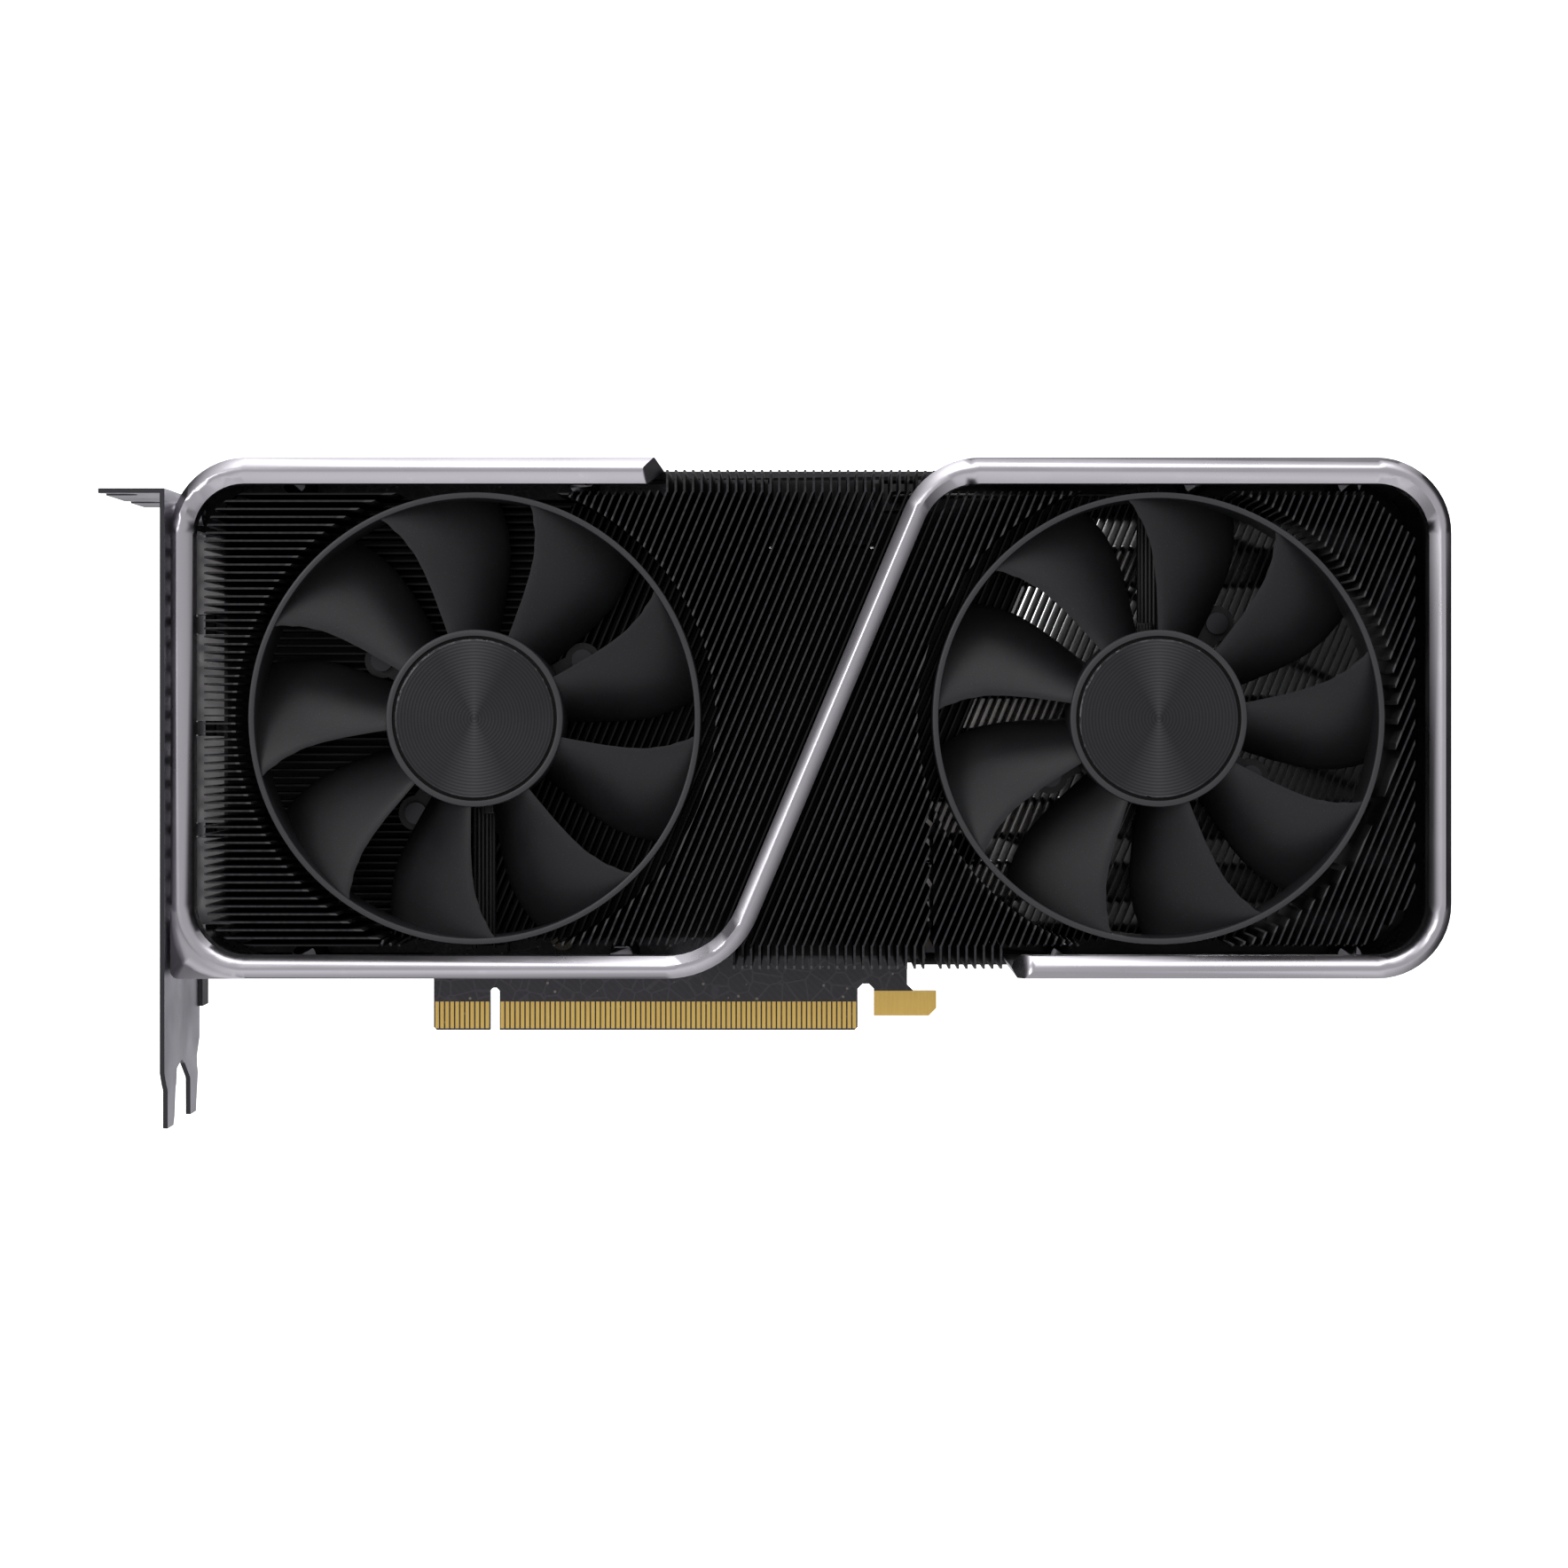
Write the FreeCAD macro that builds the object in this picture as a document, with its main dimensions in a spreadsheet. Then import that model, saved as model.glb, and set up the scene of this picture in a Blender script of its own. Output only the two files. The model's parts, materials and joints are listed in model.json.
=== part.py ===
import FreeCAD, Part
import math
import os
import Sketcher

# A dual-slot desktop graphics card with two fans, as separate pieces.
# Frame: origin at the key notch of the edge connector, on the board's mid-plane and bottom edge.
# +X runs along the card away from the bracket, +Z points up away from the slot,
# and the fans face -Y. All lengths are millimetres.

os.makedirs("parts", exist_ok=True)
V = FreeCAD.Vector
doc = FreeCAD.newDocument("GraphicsCard")
sheet = doc.addObject("Spreadsheet::Sheet", "Sizes")

sizes = {
    # board and edge connector
    "board_half": (0.8, "half the board's thickness"),
    "board_left": (-55.4, "left edge of the board"),
    "board_right": (88.0, "right edge of the board"),
    "board_low": (15.4, "lower edge of the board beside the connector"),
    "board_high": (108.6, "upper edge of the board"),
    "tongue_left": (-12.15, "left end of the connector tongue"),
    "tongue_right": (72.15, "right end of the connector tongue"),
    "notch_width": (1.9, "key notch"),
    "notch_height": (8.4, "key notch"),
    "contact_pitch": (1.0, "edge contacts"),
    "contact_width": (0.7, "edge contacts"),
    "contact_height": (5.3, "edge contacts"),
    "contact_thick": (0.05, "gold plating shown as thin pads"),
    # casing
    "case_left": (-57.45, "left outer face of the frame"),
    "case_right": (183.3, "right outer face of the frame"),
    "case_low": (13.05, "lower outer face of the frame"),
    "case_high": (111.05, "upper outer face of the frame"),
    "wall": (1.8, "side wall of the frame"),
    "front_face": (-35.0, "front ridge of the frame"),
    "bevel_foot": (-33.3, "where the bevels of the rim begin"),
    "rim_back": (-29.5, "back face of the rim"),
    "wall_back": (-1.6, "where the frame's wall meets the rear cover"),
    "cover_inner": (3.0, "inner face of the rear cover"),
    "cover_outer": (4.6, "outer face of the rear cover"),
    "corner_radius": (14.0, "outer corners of the casing"),
    "square_radius": (1.5, "the lower left corner, behind the rim"),
    # bracket
    "bracket_out": (-59.05, "outer face of the bracket"),
    "bracket_thick": (0.9, "bracket sheet"),
    "bracket_front": (-35.4, "front edge of the bracket"),
    "bracket_rear": (3.3, "rear edge of the bracket"),
    "bracket_high": (105.1, "top of the flange"),
    "bracket_low": (-14.9, "end of the tabs"),
    "flange_end": (-70.6, "tip of the flange"),
    # fans
    "left_fan": (-0.4, "x of the left fan"),
    "right_fan": (128.3, "x of the right fan"),
    "fan_high": (62.0, "z of both fans"),
    "well_radius": (45.3, "round space in the fins for each fan"),
    "well_floor": (-16.2, "fins below the fan end here"),
    "fan_back": (-17.2, "back of a fan's base, on its posts"),
    "ring_radius": (42.55, "outer radius of the fan's ring"),
    "hub_radius": (16.7, "outer radius of the hub"),
    "cap_radius": (14.9, "round plate on the hub"),
    "shaft_radius": (1.5, "fan shaft"),
    "shaft_gap": (0.05, "running clearance of the shaft in its sleeve"),
    "boss_radius": (22.3, "circle of the three fan screws"),
    # cooler
    "fin_pitch": (1.5, "fin to fin"),
    "fin_thick": (0.35, "fin sheet"),
    "fin_front": (-31.2, "front edge of the fins"),
    "plate_back": (-3.2, "cold plate against the chips"),
    "plate_front": (-6.4, "cold plate against the fins"),
    "fin_base": (1.0, "base sheet of a fin stack"),
    "fin_slant": (22.8, "degrees from upright of the slanted fins"),
    "pipe_wide": (8.0, "flattened heat pipe"),
    "pipe_thick": (2.4, "flattened heat pipe"),
    "chip_x": (40.0, "processor centre"),
    "chip_z": (62.0, "processor centre"),
}
for row, (alias, (number, note)) in enumerate(sizes.items(), 1):
    sheet.set(f"A{row}", note)
    sheet.set(f"B{row}", str(number))
    sheet.setAlias(f"B{row}", alias)
doc.recompute()


class Size:
    """A length that knows its number and the sheet expression it comes from."""

    def __init__(self, number, text):
        self.number, self.text = float(number), text

    def __add__(self, other):
        other = size(other)
        return Size(self.number + other.number, f"({self.text} + {other.text})")

    def __sub__(self, other):
        other = size(other)
        return Size(self.number - other.number, f"({self.text} - {other.text})")

    def __mul__(self, factor):
        factor = size(factor)
        return Size(self.number * factor.number, f"({self.text} * {factor.text})")

    def __radd__(self, other):
        return size(other) + self

    def __rsub__(self, other):
        return size(other) - self

    def __neg__(self):
        return size(0) - self


def size(value):
    return value if isinstance(value, Size) else Size(value, f"({float(value)!r})")


class Sheet:
    """Each alias of the sheet as a Size."""

    def __getattr__(self, alias):
        return Size(sheet.get(alias), f"Sizes.{alias}")


s = Sheet()
nodes = []


def keep(piece, name):
    """Makes a document object a sub-part: its Label names its file."""
    piece.Label = name
    nodes.append(piece)
    return piece


def bind(piece, **values):
    for prop, value in values.items():
        piece.setExpression(prop, size(value).text)


def place(piece, x=0, y=0, z=0):
    for axis, value in (("x", x), ("y", y), ("z", z)):
        piece.setExpression(f"Placement.Base.{axis}", size(value).text)
    return piece


# ---- helpers for primitives -------------------------------------------------------------------

def box(name, x, y, z, dx, dy, dz):
    """A box from its lowest corner and its three sizes."""
    piece = doc.addObject("Part::Box", name)
    bind(piece, Length=dx, Width=dy, Height=dz)
    return place(piece, x, y, z)


TURNS = {
    "X": FreeCAD.Rotation(V(0, 1, 0), 90),
    "Y": FreeCAD.Rotation(V(1, 0, 0), -90),
}


def rod(name, axis, x, y, z, radius, length):
    """A cylinder that starts at a point and runs along +X or +Y."""
    piece = doc.addObject("Part::Cylinder", name)
    piece.Placement.Rotation = TURNS[axis]
    bind(piece, Radius=radius, Height=length)
    return place(piece, x, y, z)


def group(name, pieces):
    """Equal, separate pieces in one node."""
    piece = doc.addObject("Part::Compound", name)
    piece.Links = pieces
    return keep(piece, name)


def fuse(name, pieces):
    piece = doc.addObject("Part::MultiFuse", name)
    piece.Shapes = pieces
    return piece


def cut(name, base, tools):
    piece = doc.addObject("Part::Cut", name)
    piece.Base = base
    piece.Tool = tools[0] if len(tools) == 1 else fuse(name + "_tools", tools)
    return piece


# ---- helpers for PartDesign bodies ------------------------------------------------------------

def newBody(name, x=0, y=0, z=0):
    body = doc.addObject("PartDesign::Body", name)
    place(body, x, y, z)
    return keep(body, name)


def drawOutline(sketch, corners):
    """A closed outline whose corners are bound to the sheet."""
    first = sketch.GeometryCount
    count = len(corners)
    spots = [V(size(x).number, size(y).number, 0) for x, y in corners]
    for i in range(count):
        sketch.addGeometry(Part.LineSegment(spots[i], spots[(i + 1) % count]))
    for i in range(count):
        sketch.addConstraint(Sketcher.Constraint("Coincident", first + i, 2, first + (i + 1) % count, 1))
    for i, corner in enumerate(corners):
        for kind, value in zip(("DistanceX", "DistanceY"), corner):
            value = size(value)
            rule = sketch.addConstraint(Sketcher.Constraint(kind, -1, 1, first + i, 1, value.number))
            sketch.setExpression(f"Constraints[{rule}]", value.text)


def drawCircle(sketch, x, y, radius):
    x, y, radius = size(x), size(y), size(radius)
    circle = sketch.addGeometry(Part.Circle(V(x.number, y.number, 0), V(0, 0, 1), radius.number))
    for rule in (
        Sketcher.Constraint("DistanceX", -1, 1, circle, 3, x.number),
        Sketcher.Constraint("DistanceY", -1, 1, circle, 3, y.number),
        Sketcher.Constraint("Radius", circle, radius.number),
    ):
        added = sketch.addConstraint(rule)
        value = {"DistanceX": x, "DistanceY": y, "Radius": radius}[rule.Type]
        sketch.setExpression(f"Constraints[{added}]", value.text)


def sketchOn(body, plane, outlines):
    """A sketch on one of the body's own planes. An outline of three sizes is a circle."""
    sketch = body.newObject("Sketcher::SketchObject", body.Label + "_sketch")
    sketch.AttachmentSupport = [(next(f for f in body.Origin.OriginFeatures if f.Role == plane), "")]
    sketch.MapMode = "FlatFace"
    for outline in outlines:
        if len(outline) == 3 and not isinstance(outline[0], (tuple, list)):
            drawCircle(sketch, *outline)
        else:
            drawOutline(sketch, outline)
    return sketch


def pad(body, plane, outlines, length, reverse=False, start=0):
    feature = body.newObject("PartDesign::Pad", body.Label + "_pad")
    feature.Profile = sketchOn(body, plane, outlines)
    feature.Profile[0].setExpression("AttachmentOffset.Base.z", size(start).text)
    feature.Reversed = reverse
    bind(feature, Length=length)
    doc.recompute()
    return feature


def pocket(body, plane, outlines, length=None, reverse=False):
    """Cuts outlines right through the body, or to a length, and checks that something went."""
    before = body.Shape.Volume
    feature = body.newObject("PartDesign::Pocket", body.Label + "_pocket")
    feature.Profile = sketchOn(body, plane, outlines)
    if length is None:
        feature.Type = "ThroughAll"
        feature.SideType = "Symmetric"
    else:
        feature.Reversed = reverse
        bind(feature, Length=length)
    doc.recompute()
    if not body.Shape.Volume < before - 1e-3:
        raise RuntimeError(f"{body.Label}: a pocket cut nothing")
    return feature


def sunkPocket(body, plane, outlines, start, length, reverse=True):
    """A pocket that begins at a distance from the body's own plane."""
    feature = body.newObject("PartDesign::Pocket", body.Label + "_pocket")
    feature.Profile = sketchOn(body, plane, outlines)
    feature.Profile[0].setExpression("AttachmentOffset.Base.z", size(start).text)
    feature.Reversed = reverse
    bind(feature, Length=length)
    doc.recompute()
    return feature


def turned(name, profile):
    """A body turned about its own Y axis from (radius, y) corners."""
    body = newBody(name)
    feature = body.newObject("PartDesign::Revolution", name + "_turn")
    feature.Profile = sketchOn(body, "XY_Plane", [profile])
    feature.ReferenceAxis = (feature.Profile[0], ["V_Axis"])
    feature.Angle = 360
    return body


def rect(x1, y1, x2, y2):
    return [(x1, y1), (x2, y1), (x2, y2), (x1, y2)]


# ---- helpers for shapes made with Part's own functions -----------------------------------------

def feature(name, shape):
    piece = doc.addObject("Part::Feature", name)
    piece.Shape = shape
    return keep(piece, name)


def solid(x1, y1, z1, x2, y2, z2):
    return Part.makeBox(x2 - x1, y2 - y1, z2 - z1, V(x1, y1, z1))


def barrel(x, z, radius, y1, y2):
    return Part.makeCylinder(radius, y2 - y1, V(x, y1, z), V(0, 1, 0))


def number(alias):
    return float(sheet.get(alias))


def region(corners, y1, y2):
    face = Part.Face(Part.makePolygon([V(x, y1, z) for x, z in corners + corners[:1]]))
    return face.extrude(V(0, y2 - y1, 0))


def largest(shape):
    """The one solid of a shape, without loose crumbs left by a cut."""
    solids = sorted(shape.Solids, key=lambda one: one.Volume)
    crumbs = sum(one.Volume for one in solids[:-1])
    if crumbs > 0.02 * solids[-1].Volume:
        print("left out", round(crumbs), "of", round(solids[-1].Volume), "cubic mm in", len(solids) - 1)
    return solids[-1]


# ---- circuit board -----------------------------------------------------------------------------

half = s.board_half
notch = s.notch_width * 0.5
lead_in = 0.6
hook_left, hook_right, hook_low, hook_high = 75.4, 87.8, 2.85, 7.8
neck_right = 82.0
screw_spots = [(-42.5, 103), (-42.5, 21.5), (24, 103), (14, 18.7), (84.6, 18.9), (85.2, 98.5)]
frame_screw_spots = [(-38.0, 108.0), (18.0, 108.0), (-36.0, 15.6), (26.0, 15.6),
                     (138.0, 108.0), (168.0, 108.0), (112.0, 15.6), (168.0, 15.6)]
foot_spots_on_board = frame_screw_spots[:4]
spring_reach = 30.0
spring_spots = [(s.chip_x + dx * spring_reach, s.chip_z + dz * spring_reach)
                for dx in (-1, 1) for dz in (-1, 1)]

board = newBody("circuit_board", y=half)
pad(board, "XZ_Plane", [[
    (s.board_left, s.board_low),
    (s.tongue_left, s.board_low),
    (s.tongue_left, lead_in),
    (s.tongue_left + lead_in, 0),
    (-notch, 0),
    (-notch, s.notch_height - 0.6),
    (-notch + 0.6, s.notch_height),
    (notch - 0.6, s.notch_height),
    (notch, s.notch_height - 0.6),
    (notch, 0),
    (s.tongue_right - lead_in, 0),
    (s.tongue_right, lead_in),
    (s.tongue_right, 8.2),
    (s.tongue_right + 1.0, 9.2),
    (hook_left - 1.0, 9.2),
    (hook_left, 8.2),
    (hook_left, hook_low),
    (hook_right - 1.5, hook_low),
    (hook_right, hook_low + 1.5),
    (hook_right, hook_high),
    (neck_right + 1.2, hook_high),
    (neck_right, hook_high + 1.2),
    (neck_right, s.board_low),
    (s.board_right, s.board_low),
    (s.board_right, s.board_high),
    (s.board_left + 6.7, s.board_high),
    (s.board_left, s.board_high - 6.7),
]], half * 2)
pocket(board, "XZ_Plane",
       [(x, z, 1.5) for x, z in screw_spots] + [(x, z, 1.8) for x, z in spring_spots])
pocket(board, "XZ_Plane", [(x, z, 2.9) for x, z in foot_spots_on_board])


def edgeContacts(y):
    """Thin gold pads on one side of the tongue, and the one on the retention hook."""
    pitch, wide, high = number("contact_pitch"), number("contact_width"), number("contact_height")
    thick = number("contact_thick")
    first_group, second_group, key_step = 11, 71, 3
    centres = [-1.5 * pitch - i * pitch for i in range(first_group)]
    centres += [centres[0] + key_step * pitch + i * pitch for i in range(second_group)]
    pads = [solid(x - wide / 2, y, 0.35, x + wide / 2, y + thick, 0.35 + high) for x in centres]
    hook = Part.makePolygon([V(x, y, z) for x, z in (
        (hook_left, hook_low), (hook_right - 1.5, hook_low), (hook_right, hook_low + 1.5),
        (hook_right, hook_high), (hook_left, hook_high), (hook_left, hook_low))])
    return Part.makeCompound(pads + [Part.Face(hook).extrude(V(0, thick, 0))])


feature("edge_contacts_front", edgeContacts(-number("board_half") - number("contact_thick")))
feature("edge_contacts_rear", edgeContacts(number("board_half")))

# ---- what sits on the board --------------------------------------------------------------------

def onBoard(name, places, dx, dz, high, lift=0.0):
    """Equal flat parts on the board's front, from their centres; lift raises them off it."""
    return group(name, [
        box(name + "_item", size(x) - dx / 2, -half - lift - high, size(z) - dz / 2, dx, high, dz)
        for x, z in places])


substrate, die = 1.6, 0.8
memory_high, stage_high = 1.1, 0.9
memory_spots = ([(s.chip_x + side * 29, s.chip_z + step) for side in (-1, 1) for step in (-16, 0, 16)]
                + [(s.chip_x - 9, s.chip_z + 26.4), (s.chip_x + 9, s.chip_z + 26.4)])
stage_spots = [(80, 30 + 9.5 * i) for i in range(7)]
left_stage_spots = [(-12.5, 30 + 9.5 * i) for i in range(7)]

onBoard("processor_carrier", [(s.chip_x, s.chip_z)], 38, 38, substrate)
onBoard("processor_die", [(s.chip_x, s.chip_z)], 24, 17, die, substrate)
onBoard("memory_chips", memory_spots, 12, 14, memory_high)
onBoard("power_stages", stage_spots + left_stage_spots, 6, 5, stage_high)
onBoard("memory_pads", memory_spots, 11, 13, 2.4 - memory_high, memory_high)
onBoard("power_pads", stage_spots, 5.5, 4.5, 2.4 - stage_high, stage_high)
onBoard("inductors", [(-23, 33 + 11.4 * i) for i in range(6)], 9.4, 10, 4.6)
onBoard("control_chips", [(-36, 28), (-36, 40), (-7, 101), (12, 100.5), (36, 99.5)], 6, 6, 0.9)
group("capacitors", [
    rod("capacitor", "Y", x, -half - 5.0, z, 3.1, 5.0)
    for x, z in [(-33, 52 + 8.0 * i) for i in range(6)]])
group("fan_sockets", [
    cut("fan_socket", box("socket_block", x - 3, -half - 4.4, z - 2.6, 6, 4.4, 5.2),
        [box("socket_mouth", x - 2.2, -half - 4.4, z - 1.2, 4.4, 3.2, 2.4)])
    for x, z in ((0.03, 18.4), (80.4, 105.6))])

# ---- power socket, standing on the board and open at the top edge ------------------------------

power_left, power_low, power_cells, cell_pitch = 55.0, 96.0, 6, 3.0
power_wide, power_deep, power_high = power_cells * cell_pitch + 1.6, 8.6, 12.6
power_back = -1.2
power_body = newBody("power_socket", y=power_back)
pad(power_body, "XZ_Plane", [rect(power_left, power_low, power_left + power_wide, power_low + power_high)],
    power_deep)
cells = [(power_left + 0.8 + (i + 0.5) * cell_pitch, row_y)
         for i in range(power_cells) for row_y in (-2.6, -6.0)]
cell_half = 1.2
sunkPocket(power_body, "XY_Plane", [
    rect(x - cell_half, y - cell_half, x + cell_half, y + cell_half) for x, y in cells],
    power_low + power_high, 9.6, reverse=False)
group("power_pins", [
    box("power_pin", x - 0.4, power_back + y - 0.4, power_low + 3.0, 0.8, 0.8, 7.0) for x, y in cells])

# ---- display sockets behind the bracket ---------------------------------------------------------

port_in = s.bracket_out + s.bracket_thick * 0.5
port_depth = 13.0
port_back, port_front = -2.0, -7.8
port_spots = [30.0, 50.0, 70.0]
wide_spot = 90.0
port_half, wide_half = 8.5, 7.6


def socketShell(name, z, half_high):
    """A folded metal shell, open towards the bracket and closed behind."""
    outer = box(name + "_outer", port_in, port_front, z - half_high, port_depth,
                port_back - port_front, 2 * half_high)
    inner = box(name + "_inner", port_in - 1, port_front + 0.4, z - half_high + 0.4,
                port_depth - 0.6 + 1, port_back - port_front - 0.8, 2 * half_high - 0.8)
    return cut(name, outer, [inner])


def socketTongue(name, z, half_high):
    return box(name, port_in + 2.0, -5.6, z - half_high, port_depth - 2.6, 1.5, 2 * half_high)


group("video_socket_shells", [socketShell("video_shell", z, port_half) for z in port_spots])
group("video_socket_tongues", [socketTongue("video_tongue", z, 6.8) for z in port_spots])
group("wide_socket_shell", [socketShell("wide_shell", wide_spot, wide_half)])
group("wide_socket_tongue", [socketTongue("wide_tongue", wide_spot, 5.6)])

# ---- bracket ------------------------------------------------------------------------------------

bracket_in = s.bracket_out + s.bracket_thick
jog = 0.5
flange_under = s.bracket_high - s.bracket_thick
bracket = newBody("mounting_bracket", y=s.bracket_rear)
pad(bracket, "XZ_Plane", [[
    (s.flange_end, flange_under),
    (s.bracket_out, flange_under),
    (s.bracket_out, -4.5),
    (s.bracket_out + jog, -7.5),
    (s.bracket_out + jog, s.bracket_low),
    (bracket_in + jog, s.bracket_low),
    (bracket_in + jog, -7.5),
    (bracket_in, -4.5),
    (bracket_in, s.bracket_high),
    (s.flange_end, s.bracket_high),
]], s.bracket_rear - s.bracket_front)
from_rear = s.bracket_rear


def sideways(y, z):
    """A point of the bracket's side view, in the body's own frame."""
    return (size(y) - from_rear, z)


pocket(bracket, "YZ_Plane", [
    # the corner behind the rear tab
    [sideways(y, z) for y, z in ((-9.6, -16), (-9.0, -13.0), (-7.2, -6.0), (-3.6, -1.0),
                                 (-3.6, 9.2), (4.4, 9.2), (4.4, -16))],
    # the fork between the tabs
    [sideways(y, z) for y, z in ((-30.4, -16), (-29.0, -13.5), (-27.9, -8.0), (-24.6, -4.8),
                                 (-20.0, -3.6), (-17.6, -4.6), (-14.8, -7.9), (-14.6, -16))],
    # the front tab is a little narrower than the bracket
    [sideways(y, z) for y, z in ((-36, -16), (-34.9, -16), (-34.9, -8.0), (-36, -5.0))],
])
grow = 0.25
pocket(bracket, "YZ_Plane",
       [rect(size(port_front) - grow - from_rear, z - port_half - grow,
             size(port_back) + grow - from_rear, z + port_half + grow) for z in port_spots]
       + [rect(size(port_front) - grow - from_rear, wide_spot - wide_half - grow,
               size(port_back) + grow - from_rear, wide_spot + wide_half + grow)])
slot_wide, slot_long, slot_step, slot_count = 2.6, 7.2, 4.4, 17
vent_low = 24.0
for vent_front in (-28.0, -18.6):
    vent = pocket(bracket, "YZ_Plane",
                  [rect(size(vent_front) - from_rear, vent_low,
                        size(vent_front + slot_long) - from_rear, vent_low + slot_wide)])
    row = bracket.newObject("PartDesign::LinearPattern", "vent_row")
    row.Originals = [vent]
    row.Direction = (vent.Profile[0], ["V_Axis"])
    row.Length = slot_step * (slot_count - 1)
    row.Occurrences = slot_count
    bracket.Tip = row
    doc.recompute()
notch_radius = 2.3
flange_slots = (-11.0, -31.3)
notch_deep = 4.2
pocket(bracket, "XY_Plane", [
    rect(s.flange_end - 1, size(y) - from_rear - notch_radius,
         s.flange_end + notch_deep, size(y) - from_rear + notch_radius) for y in flange_slots])
pocket(bracket, "XY_Plane", [
    (s.flange_end + notch_deep, size(y) - from_rear, notch_radius) for y in flange_slots])
# two screws go into the frame and one into the rear cover's lug
bracket_screw_spots = [(-24.0, 101.0), (-24.0, 17.4), (0.2, 11.6)]
lug_spot = bracket_screw_spots[2]
pocket(bracket, "YZ_Plane",
       [(size(y) - from_rear, z, 1.3) for y, z in bracket_screw_spots])
head_deep = 0.5
sunkPocket(bracket, "YZ_Plane",
           [(size(y) - from_rear, z, 2.4) for y, z in bracket_screw_spots],
           s.bracket_out + head_deep, 2, reverse=False)

group("bracket_screws", [
    fuse("bracket_screw", [
        rod("screw_head", "X", s.bracket_out, y, z, 2.3, head_deep),
        rod("screw_shank", "X", s.bracket_out + 0.2, y, z, 1.2, reach),
    ]) for (y, z), reach in zip(bracket_screw_spots, (4.5, 4.5, 1.3))])

# ---- front frame: one S-shaped rim that runs round both fans -------------------------------------

ridge_half = 0.55
ridge_left, ridge_right, ridge_high, ridge_low = -55.5, 181.35, 108.6, 15.1
slant = math.radians(number("fin_slant"))
bar_x, bar_z = 66.2, 62.0


def barAt(z):
    """x of the slanted bar's ridge at a height."""
    return bar_x + (z - bar_z) * math.tan(slant)


# corners of the ridge line and the radius of each bend
route = [
    ((38.0, ridge_high), 0),
    ((ridge_left, ridge_high), 12.0),
    ((ridge_left, ridge_low), 12.0),
    ((barAt(ridge_low), ridge_low), 16.4),
    ((barAt(ridge_high), ridge_high), 13.2),
    ((ridge_right, ridge_high), 12.0),
    ((ridge_right, ridge_low), 12.0),
    ((97.5, ridge_low), 0),
]
# where the rim stops: outer corner, point and inner corner of each end, and the slope of its face
rim_ends = [
    {"corners": [(33.5, 111.05), (35.1, 108.8), (31.8, 105.9)], "ridge": (31.4, 108.8), "way": 1,
     "deep": 0.673},
    {"corners": [(101.8, 13.05), (100.5, 15.5), (103.6, 18.0)], "ridge": (104.9, 15.1), "way": -1,
     "deep": 0.72},
]
# bevel widths on the left and right of travel, before and after each bend
bevels = [(1.9, 1.9), (1.9, 1.9), (1.65, 1.4), (1.65, 1.4), (1.65, 1.5), (1.65, 1.5), (1.6, 1.6),
          (1.6, 1.6), (1.9, 1.9), (1.9, 1.9), (1.4, 1.65), (1.4, 1.65), (1.5, 1.65), (1.5, 1.65)]


def ridgePieces():
    """The ridge line as straight runs and arcs: (kind, start, end, centre, radius)."""
    pieces, here = [], V(*route[0][0], 0)
    for i in range(1, len(route) - 1):
        corner, radius = V(*route[i][0], 0), route[i][1]
        before = (V(*route[i - 1][0], 0) - corner).normalize()
        after = (V(*route[i + 1][0], 0) - corner).normalize()
        half_angle = before.getAngle(after) / 2
        start = corner + before * (radius / math.tan(half_angle))
        end = corner + after * (radius / math.tan(half_angle))
        centre = corner + (before + after).normalize() * (radius / math.sin(half_angle))
        pieces += [("run", here, start, None), ("arc", start, end, centre)]
        here = end
    return pieces + [("run", here, V(*route[-1][0], 0), None)]


RIDGE = ridgePieces()


def heading(i):
    """Direction of travel at the start of ridge piece i."""
    kind, start, end, centre = RIDGE[i]
    if kind == "run":
        return (end - start).normalize()
    return heading(i - 1)


def edgeLine(side, offsets, first, last, y):
    """Edges beside the ridge line from piece first to last. side +1 is left of travel."""
    edges = []
    for i in range(first, last + 1):
        kind, start, end, centre = RIDGE[i]
        ahead = heading(i)
        leave = heading(i + 1) if kind == "arc" else ahead
        near, far = offsets[i], offsets[i + 1]
        a = start + V(-ahead.y, ahead.x, 0) * (side * near)
        b = end + V(-leave.y, leave.x, 0) * (side * far)
        a, b = V(a.x, y, a.y), V(b.x, y, b.y)
        if kind == "run":
            edges.append((a, b, None))
        else:
            middle = centre + ((start + end) * 0.5 - centre).normalize() * (start - centre).Length
            turn = (leave + ahead).normalize()
            m = middle + V(-turn.y, turn.x, 0) * (side * (near + far) / 2)
            edges.append((a, b, V(m.x, y, m.y)))
    return edges


def ribbon(left, right, y, first=0, last=12):
    """A closed wire between two lines beside the ridge."""
    ahead = edgeLine(1, left, first, last, y)
    back = [(b, a, m) for a, b, m in reversed(edgeLine(-1, right, first, last, y))]
    made = []
    for line, after in ((ahead, back), (back, ahead)):
        made += [Part.Arc(a, m, b).toShape() if m else Part.makeLine(a, b) for a, b, m in line]
        made.append(Part.makeLine(line[-1][1], after[0][0]))
    return Part.Wire(made)


def beyondEnds():
    """What lies beyond the two ends of the rim, seen from the front."""
    tools = []
    for end in rim_ends:
        outer, point, inner = end["corners"]
        far = point[0] + end["way"] * 12
        edge = 4.0 if outer[1] > inner[1] else -4.0
        plan = [(outer[0], outer[1] + edge), outer, point, inner, (inner[0], inner[1] - edge),
                (far, inner[1] - edge), (far, outer[1] + edge)]
        tools.append(region(plan, -36.0, number("wall_back") + 1))
    return tools


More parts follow.
